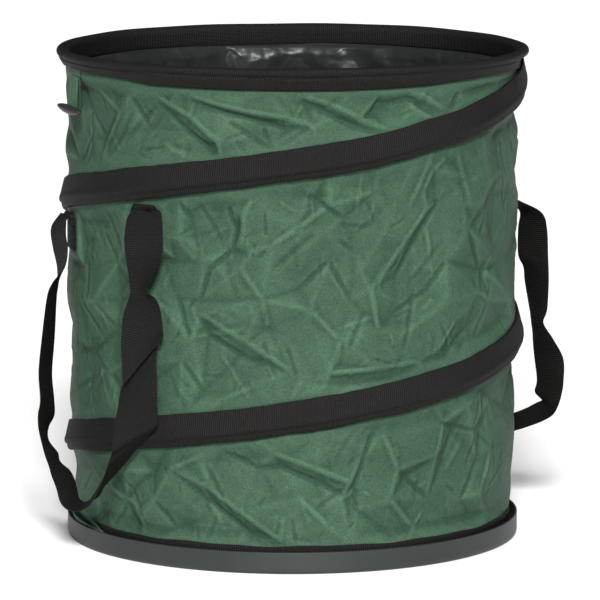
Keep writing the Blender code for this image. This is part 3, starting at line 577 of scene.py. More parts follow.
def free_cloth(azimuth, height):
    """How free the cloth is to crease: 0 where it is sewn down, 1 well away from there."""
    free = smooth_step(FOOT_SEAM, FOOT_SEAM + CREASE_REACH, height)
    free = free * smooth_step(*RIM_SEAM, height)
    for lap in (0.0, -360.0, -720.0):
        turn = azimuth + lap
        inside = (turn <= SPRING_FIRST) & (turn >= SPRING_LAST)
        wire = spring_height(np.clip(turn, SPRING_LAST, SPRING_FIRST))
        off = np.maximum(height - wire - CASING_ABOVE, wire - CASING_BELOW - height)
        free = np.minimum(free, np.where(inside, smooth_step(-0.004, CREASE_REACH, off), 1.0))
    return free


# The longest fold lines. Each point has its azimuth in degrees, its height and how far the
# cloth stands out there, in millimetres
LONG_CREASES = (
    ((-35.0, 466, 2), (-25.8, 448, 3), (-18.9, 427, 3.5), (-17.6, 412, 0)),
    ((-32.0, 451, -3), (-27.5, 434, -6), (-20.0, 416, -6)),
    ((-26.3, 469, 1), (-12.8, 456, 2.5), (-0.6, 449, 3)),
    ((-21.5, 459, -3), (-7.4, 446, -6), (-1.6, 439, -4)),
    ((-16.3, 447, -2), (-10.3, 431, -5), (-5.0, 418, -6)),
    ((-4.0, 420, -4), (4.8, 442, 3)),
    ((1.8, 471, 0), (9.2, 463, 3), (16.6, 448, 3.5), (25.0, 434, 2)),
    ((6.2, 459, -3), (14.6, 442, -6), (21.3, 431, -5)),
    ((29.4, 468, -4), (37.2, 447, -4)),
    ((32.3, 471, 2), (40.4, 452, 3)),
    ((22.6, 473, 1), (20.2, 454, -5)),
    ((34.1, 450, 3), (37.9, 442, -2)),
    ((-58.1, 468, 0), (-47.8, 447, 3), (-54.5, 415, 0)),
    ((-62.5, 442, -4), (-56.3, 421, -4)),
    ((-43.4, 465, 2), (-38.8, 435, -4)),
    ((45.6, 470, 2), (43.1, 449, -4)),
    ((54.0, 465, -3), (49.8, 447, 3)),
    (
        (-15.9, 363, -2),
        (-15.6, 351, -4),
        (-13.9, 342, -4),
        (-15.1, 320, -5),
        (-21.4, 299, -5),
        (-23.8, 269, -3),
    ),
    ((-9.9, 371, 2), (-12.1, 354, 3), (-12.4, 332, 3)),
    ((3.8, 374, -1), (6.2, 369, -4), (12.9, 351, -5)),
    ((9.2, 364, 3), (1.4, 343, 2.5), (-5.0, 326, 3), (-10.4, 317, 2)),
    ((11.7, 330, -4), (15.7, 318, -5)),
    ((41.5, 406, 0), (37.0, 394, 3), (34.5, 375, 3)),
    ((39.3, 359, -4), (33.1, 326, -5), (26.8, 292, -3)),
    ((35.5, 355, 2.5), (29.6, 327, 3), (24.1, 299, 2)),
    ((-12.9, 303, 3), (-7.4, 272, 3), (-6.0, 243, -1)),
    ((-29.2, 366, 0), (-26.4, 349, -5)),
    ((-23.3, 255, 2), (-11.4, 230, 3.5), (-0.6, 202, 3)),
    ((-21.7, 236, -4), (-12.9, 216, -5)),
    ((1.9, 282, -4), (9.2, 309, -4), (14.7, 271, -2)),
    ((4.3, 262, 3), (11.7, 232, 3), (11.2, 205, 0)),
    ((-17.5, 172, 2), (-10.4, 185, 3)),
    ((9.2, 199, 3), (22.0, 202, 3), (33.2, 205, 2)),
    ((13.0, 188, -5), (26.1, 191, -4)),
    ((39.5, 215, 3), (44.9, 242, 3)),
    ((42.2, 207, -4), (50.3, 230, -4)),
    ((27.4, 258, -3), (36.2, 275, -4), (42.7, 301, -2)),
    ((22.0, 240, 2), (19.8, 280, 3)),
    ((50.1, 330, 2), (57.3, 286, -4)),
    ((60.1, 355, -3), (54.4, 318, 3)),
    ((59.4, 255, 3), (53.7, 218, -3)),
    ((-56.6, 325, -4), (-49.7, 298, 2)),
    ((-60.9, 254, 3), (-51.5, 229, -4)),
    ((-63.4, 200, -3), (-53.3, 186, 3)),
    ((-28.7, 327, 3), (-23.2, 307, -3)),
    ((-29.9, 268, -4), (-26.0, 229, 3)),
    ((-28.8, 208, 3), (-23.3, 178, -4)),
    ((-32.4, 98, 3), (-23.4, 115, 3)),
    ((-22.0, 83, 3), (-13.0, 59, 3.5), (-3.0, 32, 2)),
    ((-21.8, 69, -5), (-12.0, 42, -5)),
    ((-4.3, 119, 3), (5.8, 104, 3.5), (14.8, 89, 3)),
    ((-3.0, 106, -5), (6.3, 90, -6), (13.3, 76, -4)),
    ((20.7, 139, -1), (18.4, 114, -3), (16.1, 87, -5), (16.9, 60, -3)),
    ((23.4, 135, 3), (27.6, 99, 3)),
    ((39.6, 109, 3), (41.6, 140, 2)),
    ((43.0, 101, -5), (45.9, 131, -4)),
    ((50.7, 58, -4), (56.8, 93, -4)),
    ((57.4, 60, 3), (62.7, 99, 2)),
    ((1.9, 74, 3), (9.3, 46, 3)),
    ((25.4, 70, 3), (33.4, 37, -2)),
    ((30.4, 90, -5), (38.4, 65, -5)),
    ((-38.0, 65, 3), (-31.9, 38, -3)),
    ((-49.4, 59, -3), (-42.7, 42, 3)),
    ((-18.1, 122, -4), (-9.0, 104, -4)),
    ((-100.0, 424, -4), (-86.0, 368, -5)),
    ((-128.0, 322, 3), (-108.0, 262, 3)),
    ((116.0, 304, 3), (148.0, 232, 3)),
    ((158.0, 336, -5), (178.0, 260, -4)),
    ((-166.0, 304, 3), (-134.0, 190, 3)),
    ((150.0, 124, 3), (172.0, 56, 2)),
    ((-170.0, 134, -5), (-146.0, 56, -3)),
    ((90.0, 304, 3), (104.0, 236, 2)),
)
random = np.random.default_rng(11)
around = np.arange(WALL_COLUMNS) * WALL_ROUND / WALL_COLUMNS
up = np.linspace(WALL_FOOT, WALL_TOP, WALL_ROWS)
azimuths = around / WALL_ROUND * 360.0 - 180.0
folds = crumpled(random, *BROAD_FACETS, around, up, LONG_CREASES, CREASE_CLEAR)
folds += crumpled(random, *SMALL_FACETS, around, up)
folds = softened(folds, 1)
for line in LONG_CREASES:
    points, line_rises = fold_line(line)
    rise = CREASE_RISE if line_rises.sum() > 0 else -CREASE_RISE
    for start, end in zip(points[:-1], points[1:]):
        scored(folds, around, up, start, end, rise, CREASE_WIDE)
folds += scored_all(random, *LONG_SCORES, around, up)
folds += scored_all(random, *SHORT_SCORES, around, up)
free = free_cloth(azimuths[None, :], up[:, None])
for azimuth, height in HANDLE_SPOTS:
    sideways = np.radians(np.abs(azimuths[None, :] - azimuth)) * WALL_MEAN_RADIUS
    upright = np.abs(up[:, None] - height)
    off = np.maximum(sideways, upright) - HANDLE_HALF
    free = np.minimum(free, smooth_step(0.001, 0.014, off))
folds = (folds - CLOTH_SAG) * free
beside = np.exp(-(((azimuths - CALM_AZIMUTH) / CALM_SPREAD) ** 2))[None, :]
beside = beside * smooth_step(*CALM_HEIGHTS, up)[:, None]
folds = folds * (1 - CALM_SHARE * beside) + CALM_OUT * beside * free
outwards = CLOTH_FURTHEST_OUT * np.tanh(folds / CLOTH_FURTHEST_OUT)
folds = np.where(folds > 0.0, outwards, np.maximum(folds, -CLOTH_FURTHEST_IN))
outer_radius = wall_radius(up)[:, None] + folds
# The cloth's back is coarser and lies behind every fold, closely so near the rim
rows_back = np.concatenate(
    [
        np.arange(WALL_ROWS - 1, WALL_NEAR_RIM, -WALL_FINE_STEP),
        np.linspace(WALL_NEAR_RIM, 0, WALL_BACK_ROWS).round().astype(int),
    ]
)
reach = WALL_ROWS // WALL_BACK_ROWS + 1
lowest = outer_radius.copy()
for step in range(-reach, reach + 1):
    shifted = outer_radius[np.clip(np.arange(WALL_ROWS) + step, 0, WALL_ROWS - 1)]
    near_rim = (np.arange(WALL_ROWS) > WALL_NEAR_RIM)[:, None] & (abs(step) > WALL_FINE_STEP)
    lowest = np.where(near_rim, lowest, np.minimum(lowest, shifted))
inner_radius = (lowest - CLOTH_THICK)[rows_back]
wall_points = np.concatenate(
    [
        polar(azimuths[None, :], outer_radius, up[:, None]),
        polar(azimuths[None, :], inner_radius, up[rows_back][:, None]),
    ]
)

coated_polyester = new_material(
    "coated green polyester cloth", Roughness=0.5, IOR=1.5, Specular_IOR_Level=0.04
)
dyed = mottled(coated_polyester, 14.0, 5.0, 0.6)
cloth_tone = two_tones(coated_polyester, dyed, "#3A5242", "#445D4C", 0.32, 0.70)
# Threads are 0.45 mm apart on such cloth; they are drawn 1.7 mm apart so that they show
laid = add_node(coated_polyester, "UVMap", uv_map="cloth")
apart = add_node(coated_polyester, "SeparateXYZ", {"Vector": laid.outputs["UV"]})
threads = []
for axis in ("X", "Y"):
    phase = add_node(
        coated_polyester,
        "Math",
        {0: apart.outputs[axis], 1: 2 * math.pi / THREADS_APART},
        operation="MULTIPLY",
    )
    threads.append(add_node(coated_polyester, "Math", {0: phase.outputs[0]}, operation="SINE"))
woven = add_node(
    coated_polyester,
    "Math",
    {0: threads[0].outputs[0], 1: threads[1].outputs[0]},
    operation="MULTIPLY",
)
# The finest creases of the coating, in cells 7 to 12 mm across
place = add_node(coated_polyester, "TexCoord")
cells = add_node(
    coated_polyester,
    "TexVoronoi",
    {"Vector": place.outputs["Object"], "Scale": 105.0, "Randomness": 1.0},
    feature="DISTANCE_TO_EDGE",
)
crinkle_bump = add_node(
    coated_polyester,
    "Bump",
    {"Height": cells.outputs["Distance"], "Strength": 0.16, "Distance": 0.0028},
)
# Painted glints: each thread's colour is made brighter or darker at random, as if threads caught the
# light one by one, 0.45 mm apart in truth, 1 mm here. The same cells vary the roughness
glints = add_node(
    coated_polyester,
    "TexVoronoi",
    {"Vector": place.outputs["Object"], "Scale": 1000.0, "Randomness": 1.0},
    feature="F1",
)
glint_parts = add_node(coated_polyester, "SeparateColor", {"Color": glints.outputs["Color"]})
weave_bump = add_node(
    coated_polyester,
    "Bump",
    {
        "Height": woven.outputs[0],
        "Strength": 0.30,
        "Distance": 0.00018,
        "Normal": crinkle_bump.outputs["Normal"],
    },
)
# Painted light and shade: the colour is paler along sharp ridges and darker in the bottoms of the folds
painted_light_shade = add_node(coated_polyester, "Attribute", attribute_name="painted_light_shade")
painted_light_shade_tone = two_tones(coated_polyester, painted_light_shade.outputs["Fac"], "#B4BCB8", "#FFFFFF", 0.25, 0.80)
cloth_colour = add_node(
    coated_polyester,
    "MixRGB",
    {"Fac": 0.9, "Color1": cloth_tone, "Color2": painted_light_shade_tone},
    blend_type="MULTIPLY",
)
# Painted glints in the cloth's colour
painted_glint = add_node(
    coated_polyester,
    "MapRange",
    {"Value": glint_parts.outputs["Red"], "To Min": 0.80, "To Max": 1.24},
)
painted_glint_colour = add_node(
    coated_polyester,
    "VectorMath",
    {0: cloth_colour.outputs["Color"], 3: painted_glint.outputs["Result"]},
    operation="SCALE",
)
worn = add_node(
    coated_polyester,
    "MapRange",
    {"Value": glint_parts.outputs["Green"], "To Min": 0.42, "To Max": 0.60},
)
feed_shader(
    coated_polyester,
    Base_Color=painted_glint_colour.outputs["Vector"],
    Roughness=worn.outputs["Result"],
    Normal=weave_bump.outputs["Normal"],
)
wall = lofted(
    "bag_wall_cloth", wall_points, coated_polyester, round_rows=True, round_columns=True, sharp=0.0
)
# Painted light and shade on the wall's points: paler on sharp ridges, darker in fold bottoms, the
# cloth's back at the middle tone
sharpness = folds - softened(folds, 5)
painted_light_shade_share = np.full(len(wall.data.vertices), 0.5, np.float32)
painted_light_shade_share[: sharpness.size] = np.clip(0.5 + sharpness.ravel() / PAINTED_LIGHT_DEPTH, 0.0, 1.0)
wall.data.attributes.new("painted_light_shade", "FLOAT", "POINT").data.foreach_set("value", painted_light_shade_share)
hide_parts("bag_wall")
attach(wall, "base")
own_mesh(wall)

# Lining: black film laid loose inside the wall and sewn in with its edges. It is thin
# and glossy, so it crumples more sharply than the cloth.
FILM_FOOT = 0.0070
FILM_COLUMNS = 800
FILM_ROWS = 210
FILM_BACK_ROWS = 40
# Three sizes of facets on each other, and how much of their depth the film shows
FILM_FACETS = ((0.030, 0.0050), (0.013, 0.0016), (0.007, 0.0005))
FILM_FOLD_SHARE = 0.75
FILM_SAG = 0.0020
FILM_DEPTHS = (-0.0050, -0.0002)
FILM_RIM_SEAM = (0.4772, 0.4735)
FILM_FOOT_SEAM = (0.007, 0.03)
# How far it stays off the cloth's folds and off the wall's smooth shape
FILM_OFF_CLOTH = 0.0014
FILM_OFF_WALL = 0.0013
FILM_BACK_OFF_CLOTH = 0.0007
FILM_THICKEST = 0.0003
FILM_THINNEST = 0.0001
film_around = np.arange(FILM_COLUMNS) * WALL_ROUND / FILM_COLUMNS
# Its rows lie closer together near the top, where it is seen
film_up = FILM_FOOT + (WALL_TOP - FILM_FOOT) * (1 - (1 - np.linspace(0.0, 1.0, FILM_ROWS)) ** 1.5)
film_azimuths = film_around / WALL_ROUND * 360.0 - 180.0
film_folds = sum(crumpled(random, *sizes, film_around, film_up) for sizes in FILM_FACETS)
film_free = smooth_step(*FILM_RIM_SEAM, film_up) * smooth_step(*FILM_FOOT_SEAM, film_up)
film_depth = np.clip(FILM_FOLD_SHARE * film_folds - FILM_SAG, *FILM_DEPTHS) * film_free[:, None]
# The film stays in front of the cloth behind it, and of its folds just beside
back_up, back_radius = up[rows_back[::-1]], inner_radius[::-1] + CLOTH_THICK
behind = np.stack(
    [
        np.minimum(
            np.interp(film_up, up, lowest[:, n]), np.interp(film_up, back_up, back_radius[:, n])
        )
        for n in range(WALL_COLUMNS)
    ],
    1,
)
behind = np.stack([np.interp(film_around, around, row, period=WALL_ROUND) for row in behind])
for step in (-3, -2, -1, 1, 2, 3):
    behind = np.minimum(behind, np.roll(behind, step, 1))
smooth_film = wall_radius(film_up)[:, None] - FILM_OFF_WALL
film_radius = np.minimum(behind - FILM_OFF_CLOTH, smooth_film) + film_depth
film_back = np.linspace(0, FILM_ROWS - 1, FILM_BACK_ROWS).round().astype(int)
film_reach = FILM_ROWS // FILM_BACK_ROWS
film_inner = film_radius.copy()
for step in range(-film_reach, film_reach + 1):
    shifted = film_radius[np.clip(np.arange(FILM_ROWS) + step, 0, FILM_ROWS - 1)]
    film_inner = np.maximum(film_inner, shifted)
film_outer = np.maximum(behind - FILM_BACK_OFF_CLOTH, film_radius + FILM_THINNEST)
film_outer = np.minimum(film_inner + FILM_THICKEST, film_outer)
film_points = np.concatenate(
    [
        polar(film_azimuths[None, :], film_outer[film_back], film_up[film_back][:, None]),
        polar(film_azimuths[None, :], film_radius[::-1], film_up[::-1][:, None]),
    ]
)
black_film = new_material(
    "glossy black polyethylene film", Roughness=0.33, IOR=1.51, Specular_IOR_Level=0.17
)
film_tone = two_tones(black_film, mottled(black_film, 22.0, 5.0), "#191A1A", "#262727")
film_crinkle = mottled(black_film, 120.0, 6.0, 0.6)
film_bump = add_node(
    black_film, "Bump", {"Height": film_crinkle, "Strength": 0.18, "Distance": 0.0018}
)
feed_shader(black_film, Base_Color=film_tone, Normal=film_bump.outputs["Normal"])
lining = lofted(
    "bag_lining_film", film_points, black_film, round_rows=True, round_columns=True, sharp=0.0
)
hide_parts("bag_lining")
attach(lining, "base")
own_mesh(lining)

# Foot binding: ribbed black webbing folded over the wall's foot and sewn through. Its
# upper edge shows above the tray and waves a little.
FOOT_WEB_INNER = 0.2211
FOOT_WEB_OUTER = 0.2223
FOOT_WEB_TOP = 0.0268
FOOT_WEB_COLUMNS = 720
WARP_APART = 0.0013
RIB_WANDER = 0.0011


def ribbed_webbing(name, dark, light, rib, rough):
    """Black webbing with raised ribs across it, this far apart, and a few worn threads."""
    webbing = new_material(name, Roughness=rough, IOR=1.5, Specular_IOR_Level=0.16)
    laid = add_node(webbing, "UVMap", uv_map="cloth")
    apart = add_node(webbing, "SeparateXYZ", {"Vector": laid.outputs["UV"]})
    drift = add_node(
        webbing,
        "Math",
        {0: mottled(webbing, 60.0, 3.0), 1: RIB_WANDER, 2: apart.outputs["X"]},
        operation="MULTIPLY_ADD",
    )
    phase = add_node(webbing, "Math", {0: drift.outputs[0], 1: 2 * math.pi / rib}, operation="MULTIPLY")
    ribs = add_node(webbing, "Math", {0: phase.outputs[0]}, operation="SINE")
    # Warp threads, really 0.5 mm apart, drawn at 1.3 mm across the ribs
    cross = add_node(
        webbing, "Math", {0: apart.outputs["Y"], 1: 2 * math.pi / WARP_APART}, operation="MULTIPLY"
    )
    warp = add_node(webbing, "Math", {0: cross.outputs[0]}, operation="SINE")
    both = add_node(
        webbing,
        "Math",
        {0: warp.outputs[0], 1: 0.35, 2: ribs.outputs[0]},
        operation="MULTIPLY_ADD",
    )
    # Painted light and shade: the tone is lighter on the crests of the ribs and warp threads and darker
    # between them, and worn threads vary it at random
    rib_shade_and_wear = add_node(
        webbing,
        "Math",
        {0: both.outputs[0], 1: 0.16, 2: mottled(webbing, 420.0, 4.0, 0.7)},
        operation="MULTIPLY_ADD",
    )
    tone = two_tones(webbing, rib_shade_and_wear.outputs[0], dark, light, 0.34, 0.72)
    bump = add_node(
        webbing, "Bump", {"Height": both.outputs[0], "Strength": 0.75, "Distance": 0.0003}
    )
    feed_shader(webbing, Base_Color=tone, Normal=bump.outputs["Normal"])
    return webbing


def waver(turns, *waves):
    """A sum of waves round the bag, each with its height, how many there are and its shift."""
    return sum(height * np.sin(np.radians(turns * times + shift)) for height, times, shift in waves)


binding_webbing = ribbed_webbing(
    "ribbed black polypropylene binding", "#0A0909", "#191716", 0.0022, 0.64
)
foot_steps = np.arange(FOOT_WEB_COLUMNS) * 360.0 / FOOT_WEB_COLUMNS
wave = waver(foot_steps, (0.0005, 11, 0), (0.0004, 23, 40))
foot_rows = [
    polar(foot_steps, radius, height + share * wave)
    for radius, height, share in (
        (FOOT_WEB_INNER, 0.0030, 0),
        (FOOT_WEB_OUTER - 0.0002, 0.0028, 0),
        (FOOT_WEB_OUTER, 0.0034, 0),
        (FOOT_WEB_OUTER, 0.0140, 0),
        (FOOT_WEB_OUTER, 0.0205, 0.3),
        (FOOT_WEB_OUTER + 0.0001, FOOT_WEB_TOP - 0.0012, 1),
        (FOOT_WEB_OUTER - 0.0002, FOOT_WEB_TOP - 0.0003, 1),
        (FOOT_WEB_OUTER - 0.0006, FOOT_WEB_TOP, 1),
        (FOOT_WEB_INNER, FOOT_WEB_TOP - 0.0002, 1),
        (FOOT_WEB_INNER, 0.0140, 0),
    )
]
foot_binding = lofted(
    "foot_binding_webbing",
    np.swapaxes(np.array(foot_rows), 0, 1),
    binding_webbing,
    round_rows=True,
    round_columns=True,
)
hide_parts("foot_binding")
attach(foot_binding, "base")

# Spiral: the sprung wire that lifts the bag, and the ribbed webbing casing sewn over it.
# The casing is widest above the wire, is ridged over it and puckers a little at its edges.
WIRE_RADIUS = 0.00175
FOOT_RING_RADIUS = 0.22505
WIRE_OFF_WALL = 0.0049
CASING_FOOT = 0.02735
CASING_RADIUS = 0.23
CASING_CREST = 0.00825
CASING_EDGE = 0.0018
CASING_BACK = 0.0005
CASING_SWAY = 0.0009
CASING_PUCKER = 0.0004
CASING_HIGHEST = SPRING_TOP + 0.0050
CASING_LOWEST = TRAY_HEIGHT + 0.0006
# Where it lies on the rim's webbing or on the foot's, it stands out by their thickness
OVER_RIM = 0.0017
OVER_RIM_FROM = (0.470, 0.4745)
OVER_FOOT = 0.0016
OVER_FOOT_FROM = (FOOT_WEB_TOP + 0.0030, FOOT_WEB_TOP + 0.0005)
# Its section: which edge, the share of the way there from the wire, share of the ridge
CASING_SECTION = (
    ("low", 1.00, 0.00),
    ("low", 0.99, 0.22),
    ("low", 0.93, 0.40),
    ("low", 0.80, 0.52),
    ("low", 0.64, 0.58),
    ("low", 0.50, 0.60),
    ("low", 0.40, 0.66),
    ("low", 0.32, 0.86),
    ("low", 0.22, 0.97),
    ("low", 0.08, 1.00),
    ("high", 0.06, 0.98),
    ("high", 0.13, 0.90),
    ("high", 0.20, 0.80),
    ("high", 0.28, 0.72),
    ("high", 0.42, 0.60),
    ("high", 0.60, 0.44),
    ("high", 0.78, 0.27),
    ("high", 0.92, 0.14),
    ("high", 0.98, 0.07),
    ("high", 1.00, 0.00),
)
wire_turns = np.arange(SPRING_FIRST, SPRING_LAST - 0.01, -1.5)
wire_heights = spring_height(wire_turns)
# Below the casing the wire runs in to the foot ring
on_foot_ring = smooth_step(CASING_FOOT - 0.006, CASING_FOOT + 0.002, wire_heights)
wire_radii = wall_radius(wire_heights) + WIRE_OFF_WALL
wire_radii = FOOT_RING_RADIUS + (wire_radii - FOOT_RING_RADIUS) * on_foot_ring
corners = np.radians(np.arange(12) * 30.0)
wire_points = polar(
    wire_turns[:, None],
    wire_radii[:, None] + WIRE_RADIUS * np.cos(corners),
    wire_heights[:, None] + WIRE_RADIUS * np.sin(corners),
)
wire = lofted("spiral_wire", wire_points, drawn_steel, round_columns=True, caps=True)
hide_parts("spiral_spring")
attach(wire, "base")
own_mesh(wire)

casing_turns = np.arange(SPRING_FIRST, CASING_LAST - 0.01, -0.75)
casing_heights = spring_height(casing_turns)
seam = np.radians(SPRING_FIRST - casing_turns) * CASING_RADIUS


def drifting(seed, length, spacing):
    """A smooth, slow wander between -1 and 1 along a seam of these lengths."""
    knots = np.random.default_rng(seed).uniform(-1, 1, int(length[-1] / spacing) + 4)
    place = length / spacing + 1
    first = np.floor(place).astype(int)
    eased = smooth_step(0.0, 1.0, place - first)
    return knots[first] + (knots[first + 1] - knots[first]) * eased


upper = casing_heights + CASING_ABOVE
upper = upper + CASING_SWAY * drifting(3, seam, 0.045) + CASING_PUCKER * drifting(4, seam, 0.012)
upper = np.minimum(upper, CASING_HIGHEST)
lower = casing_heights - CASING_BELOW
lower = lower + CASING_SWAY * drifting(5, seam, 0.038) + CASING_PUCKER * drifting(6, seam, 0.011)
lower = np.maximum(lower, CASING_LOWEST)
over_rim = OVER_RIM * smooth_step(*OVER_RIM_FROM, upper)
over_foot = OVER_FOOT * smooth_step(*OVER_FOOT_FROM, lower)
back = CASING_BACK + np.maximum(over_rim, over_foot)
crest = CASING_CREST + 0.0007 * drifting(7, seam, 0.060) + 0.3 * over_rim
columns = []
for side, share, rise in CASING_SECTION:
    edge = lower if side == "low" else upper
    height = casing_heights + (edge - casing_heights) * share
    off = back + CASING_EDGE + (crest - back - CASING_EDGE) * rise
    columns.append(polar(casing_turns, wall_radius(height) + off, height))
for edge, share in ((upper, 1.0), (upper, 0.5), (upper, 0.0), (lower, 0.5), (lower, 1.0)):
    height = casing_heights + (edge - casing_heights) * share
    columns.append(polar(casing_turns, wall_radius(height) + back, height))
casing = lofted(
    "spiral_casing_webbing",
    np.stack(columns, 1),
    binding_webbing,
    round_columns=True,
    caps=True,
)
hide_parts("spiral_casing")
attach(casing, "base")
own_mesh(casing)

# Rim: the same webbing, folded over the wall's edge and sewn through, with the wire ring
# in a roll at its outside. Its lower edge runs higher at both ends of the bag.
RIM_BOTTOM = 0.4762
ROLL_CENTRE = (0.2346, 0.4942)
ROLL_RADIUS = 0.0042
# Its two flanges, outside and inside the cloth, by the radius of their faces
FLANGE_OUTER = 0.2310
FLANGE_INNER = 0.2296
INNER_FLANGE_OUTER = 0.2271
INNER_FLANGE_INNER = 0.2257
FLANGE_TOP = 0.4893
INNER_FLANGE_TOP = 0.4975
FOLD_UNDERSIDE = 0.4896
RIM_COLUMNS = 960
# How many millimetres higher the lower edge runs at these azimuths
EDGE_AZIMUTHS = (-180, -110, -78, -52, -44, -36, -20, 20, 34, 46, 58, 70, 95, 140, 180)
EDGE_LIFTS = (0.6, 0.8, 5.5, 5.8, 4.6, 1.0, 0.0, 0.0, 1.0, 3.0, 4.6, 3.6, 1.0, 0.4, 0.6)
rim_steps = np.arange(RIM_COLUMNS) * 360.0 / RIM_COLUMNS - 180.0
rim_length = np.radians(rim_steps + 180.0) * FLANGE_OUTER
edge_lift = np.interp(rim_steps, EDGE_AZIMUTHS, EDGE_LIFTS) / 1000
edge_lift = edge_lift + 0.0005 * drifting(9, rim_length, 0.05) * (1 - np.abs(rim_steps) / 180)
inner_lift = waver(rim_steps, (0.0008, 3, 20), (0.0006, 7, 0))
roll_swell = waver(rim_steps, (0.0003, 5, 60), (0.0002, 13, 0))
rim_columns = []
low = RIM_BOTTOM + np.maximum(edge_lift, 0.0)
# The webbing bulges over its own turned-in edge, but lies flat where the casing crosses it
bulge = 1 - smooth_step(66.0, 84.0, rim_steps) * smooth_step(138.0, 122.0, rim_steps)
bulge = bulge * (0.92 + 0.08 * drifting(12, rim_length, 0.03))
for share, radius, proud in (
    (0.0, FLANGE_INNER + 0.0002, 0.0),
    (0.0, FLANGE_OUTER - 0.0002, 0.0004),
    (0.03, FLANGE_OUTER, 0.0010),
    (0.20, FLANGE_OUTER, 0.0021),
    (0.40, FLANGE_OUTER, 0.0033),
    (0.60, FLANGE_OUTER, 0.0044),
    (0.80, FLANGE_OUTER, 0.0054),
    (0.92, FLANGE_OUTER, 0.0058),
    (0.98, FLANGE_OUTER, 0.0054),
):
    at = radius + proud * bulge
    rim_columns.append(polar(rim_steps, at, low + (FLANGE_TOP - low) * share))
for angle in np.radians((300, 312, 330, 350, 12, 34, 56, 78, 100, 120, 140, 158)):
    radius = ROLL_CENTRE[0] + (ROLL_RADIUS + roll_swell) * math.cos(angle)
    height = ROLL_CENTRE[1] + (ROLL_RADIUS + roll_swell) * math.sin(angle)
    rim_columns.append(polar(rim_steps, radius, height))
inner_low = RIM_BOTTOM + 0.0016 + inner_lift
for radius, share in (
    (0.2290, 0.985),
    (0.2272, 0.93),
    (INNER_FLANGE_INNER + 0.0002, 0.78),
    (INNER_FLANGE_INNER, 0.60),
    (INNER_FLANGE_INNER, 0.30),
    (INNER_FLANGE_INNER, 0.05),
    (INNER_FLANGE_INNER + 0.0003, 0.0),
    (INNER_FLANGE_OUTER - 0.0001, 0.0),
    (INNER_FLANGE_OUTER, 0.30),
):
    height = inner_low + (INNER_FLANGE_TOP - inner_low) * share
    rim_columns.append(polar(rim_steps, radius, height))
rim_columns.append(polar(rim_steps, INNER_FLANGE_OUTER, FOLD_UNDERSIDE))
rim_columns.append(polar(rim_steps, FLANGE_INNER, FOLD_UNDERSIDE))
rim = lofted(
    "rim_binding_webbing",
    np.stack(rim_columns, 1),
    binding_webbing,
    round_rows=True,
    round_columns=True,
    sharp=55.0,
)
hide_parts("rim_binding")
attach(rim, "rim")

# Carry handles: 38 mm black polypropylene webbing, two to the bag. Each end is sewn flat
# on the wall, folded over at its top, and the loop then hangs and twists as limp webbing
# does. Ends ride on the base with the wall, folds and loops move on their own bodies.
HANDLE_WEB = 0.0016
HANDLE_WALL_RADIUS = 0.2285
SEWN_LENGTH = 0.024
SEWN_BELOW_FOLD = 0.0003
FOLD_HEIGHT = 0.0115
FOLD_CORNER = 0.0035
CROWN_DROP = 0.0016
handle_webbing = ribbed_webbing(
    "black polypropylene handle webbing", "#060606", "#151312", 0.0021, 0.68
)


def smooth_rows(rows, steps):
    """Rows of numbers on a smooth curve through the given ones."""
    rows = np.array(rows, float)
    ends = np.concatenate([[2 * rows[0] - rows[1]], rows, [2 * rows[-1] - rows[-2]]])
    t = (np.arange(steps) / steps)[:, None]
    result = []
    for n in range(1, len(ends) - 2):
        before, here, there, after = ends[n - 1 : n + 3]
        result.append(
            here * (2 * t**3 - 3 * t**2 + 1)
            + (there - before) / 2 * (t**3 - 2 * t**2 + t)
            + there * (3 * t**2 - 2 * t**3)
            + (after - here) / 2 * (t**3 - t**2)
        )
    return np.concatenate(result + [rows[-1:]])


def strip_of(name, loops, material):
    """A strip with closed ends through lines of points along it."""
    return lofted(name, np.stack(loops, 1), material, round_columns=True, caps=True, sharp=50.0)


def both_faces(shares):
    """Shares of a strip's width, first over its front face and then back over its rear."""
    return [(share, 1) for share in shares] + [(share, -1) for share in shares[::-1]]


def ribbon(name, rows):
    """Webbing through rows of: x, y, z of its one edge and of its other, and its curl.

    Curl is how far its middle stands out. All lengths are in metres.
    """
    rows = smooth_rows(rows, 8)
    centres, half = (rows[:, :3] + rows[:, 3:6]) / 2, (rows[:, 3:6] - rows[:, :3]) / 2
    ahead = np.gradient(centres, axis=0)
    normal = np.cross(half, ahead)
    normal /= np.linalg.norm(normal, axis=1)[:, None]
    loops = []
    for share, side in both_faces(np.linspace(-1, 1, 11)):
        middle = rows[:, 6] * (0.5 - share**2)
        off = middle + side * HANDLE_WEB / 2 * (1 - 0.55 * abs(share) ** 12)
        loops.append(centres + half * share + normal * off[:, None])
    return strip_of(name, loops, handle_webbing)


def on_wall(name, azimuth, rows, corner=0.0):
    """Webbing up the wall, through rows of four numbers.

    They are height, how far it is off the wall, its share of the full width, and how much
    of the corners' rounding it takes. Corner is how deep that rounding is.
    """
    rows = smooth_rows(rows, 5)
    loops = []
    ahead = np.gradient(rows[:, :2], axis=0)
    ahead /= np.linalg.norm(ahead, axis=1)[:, None]
    for share, side in both_faces(np.linspace(-1, 1, 12)):
        thick = side * HANDLE_WEB / 2 * (1 - 0.5 * abs(share) ** 12)
        height = rows[:, 0] - ahead[:, 1] * thick
        off = rows[:, 1] + ahead[:, 0] * thick
        dip = corner * (1 - np.sqrt(1 - np.clip((abs(share) - 0.7) / 0.3, 0, 1) ** 2))
        height = height - dip * rows[:, 3]
        here = azimuth + np.degrees(HANDLE_HALF * share * rows[:, 2] / HANDLE_WALL_RADIUS)
        loops.append(polar(here, wall_radius(height) + off, height))
    return strip_of(name, loops, handle_webbing)


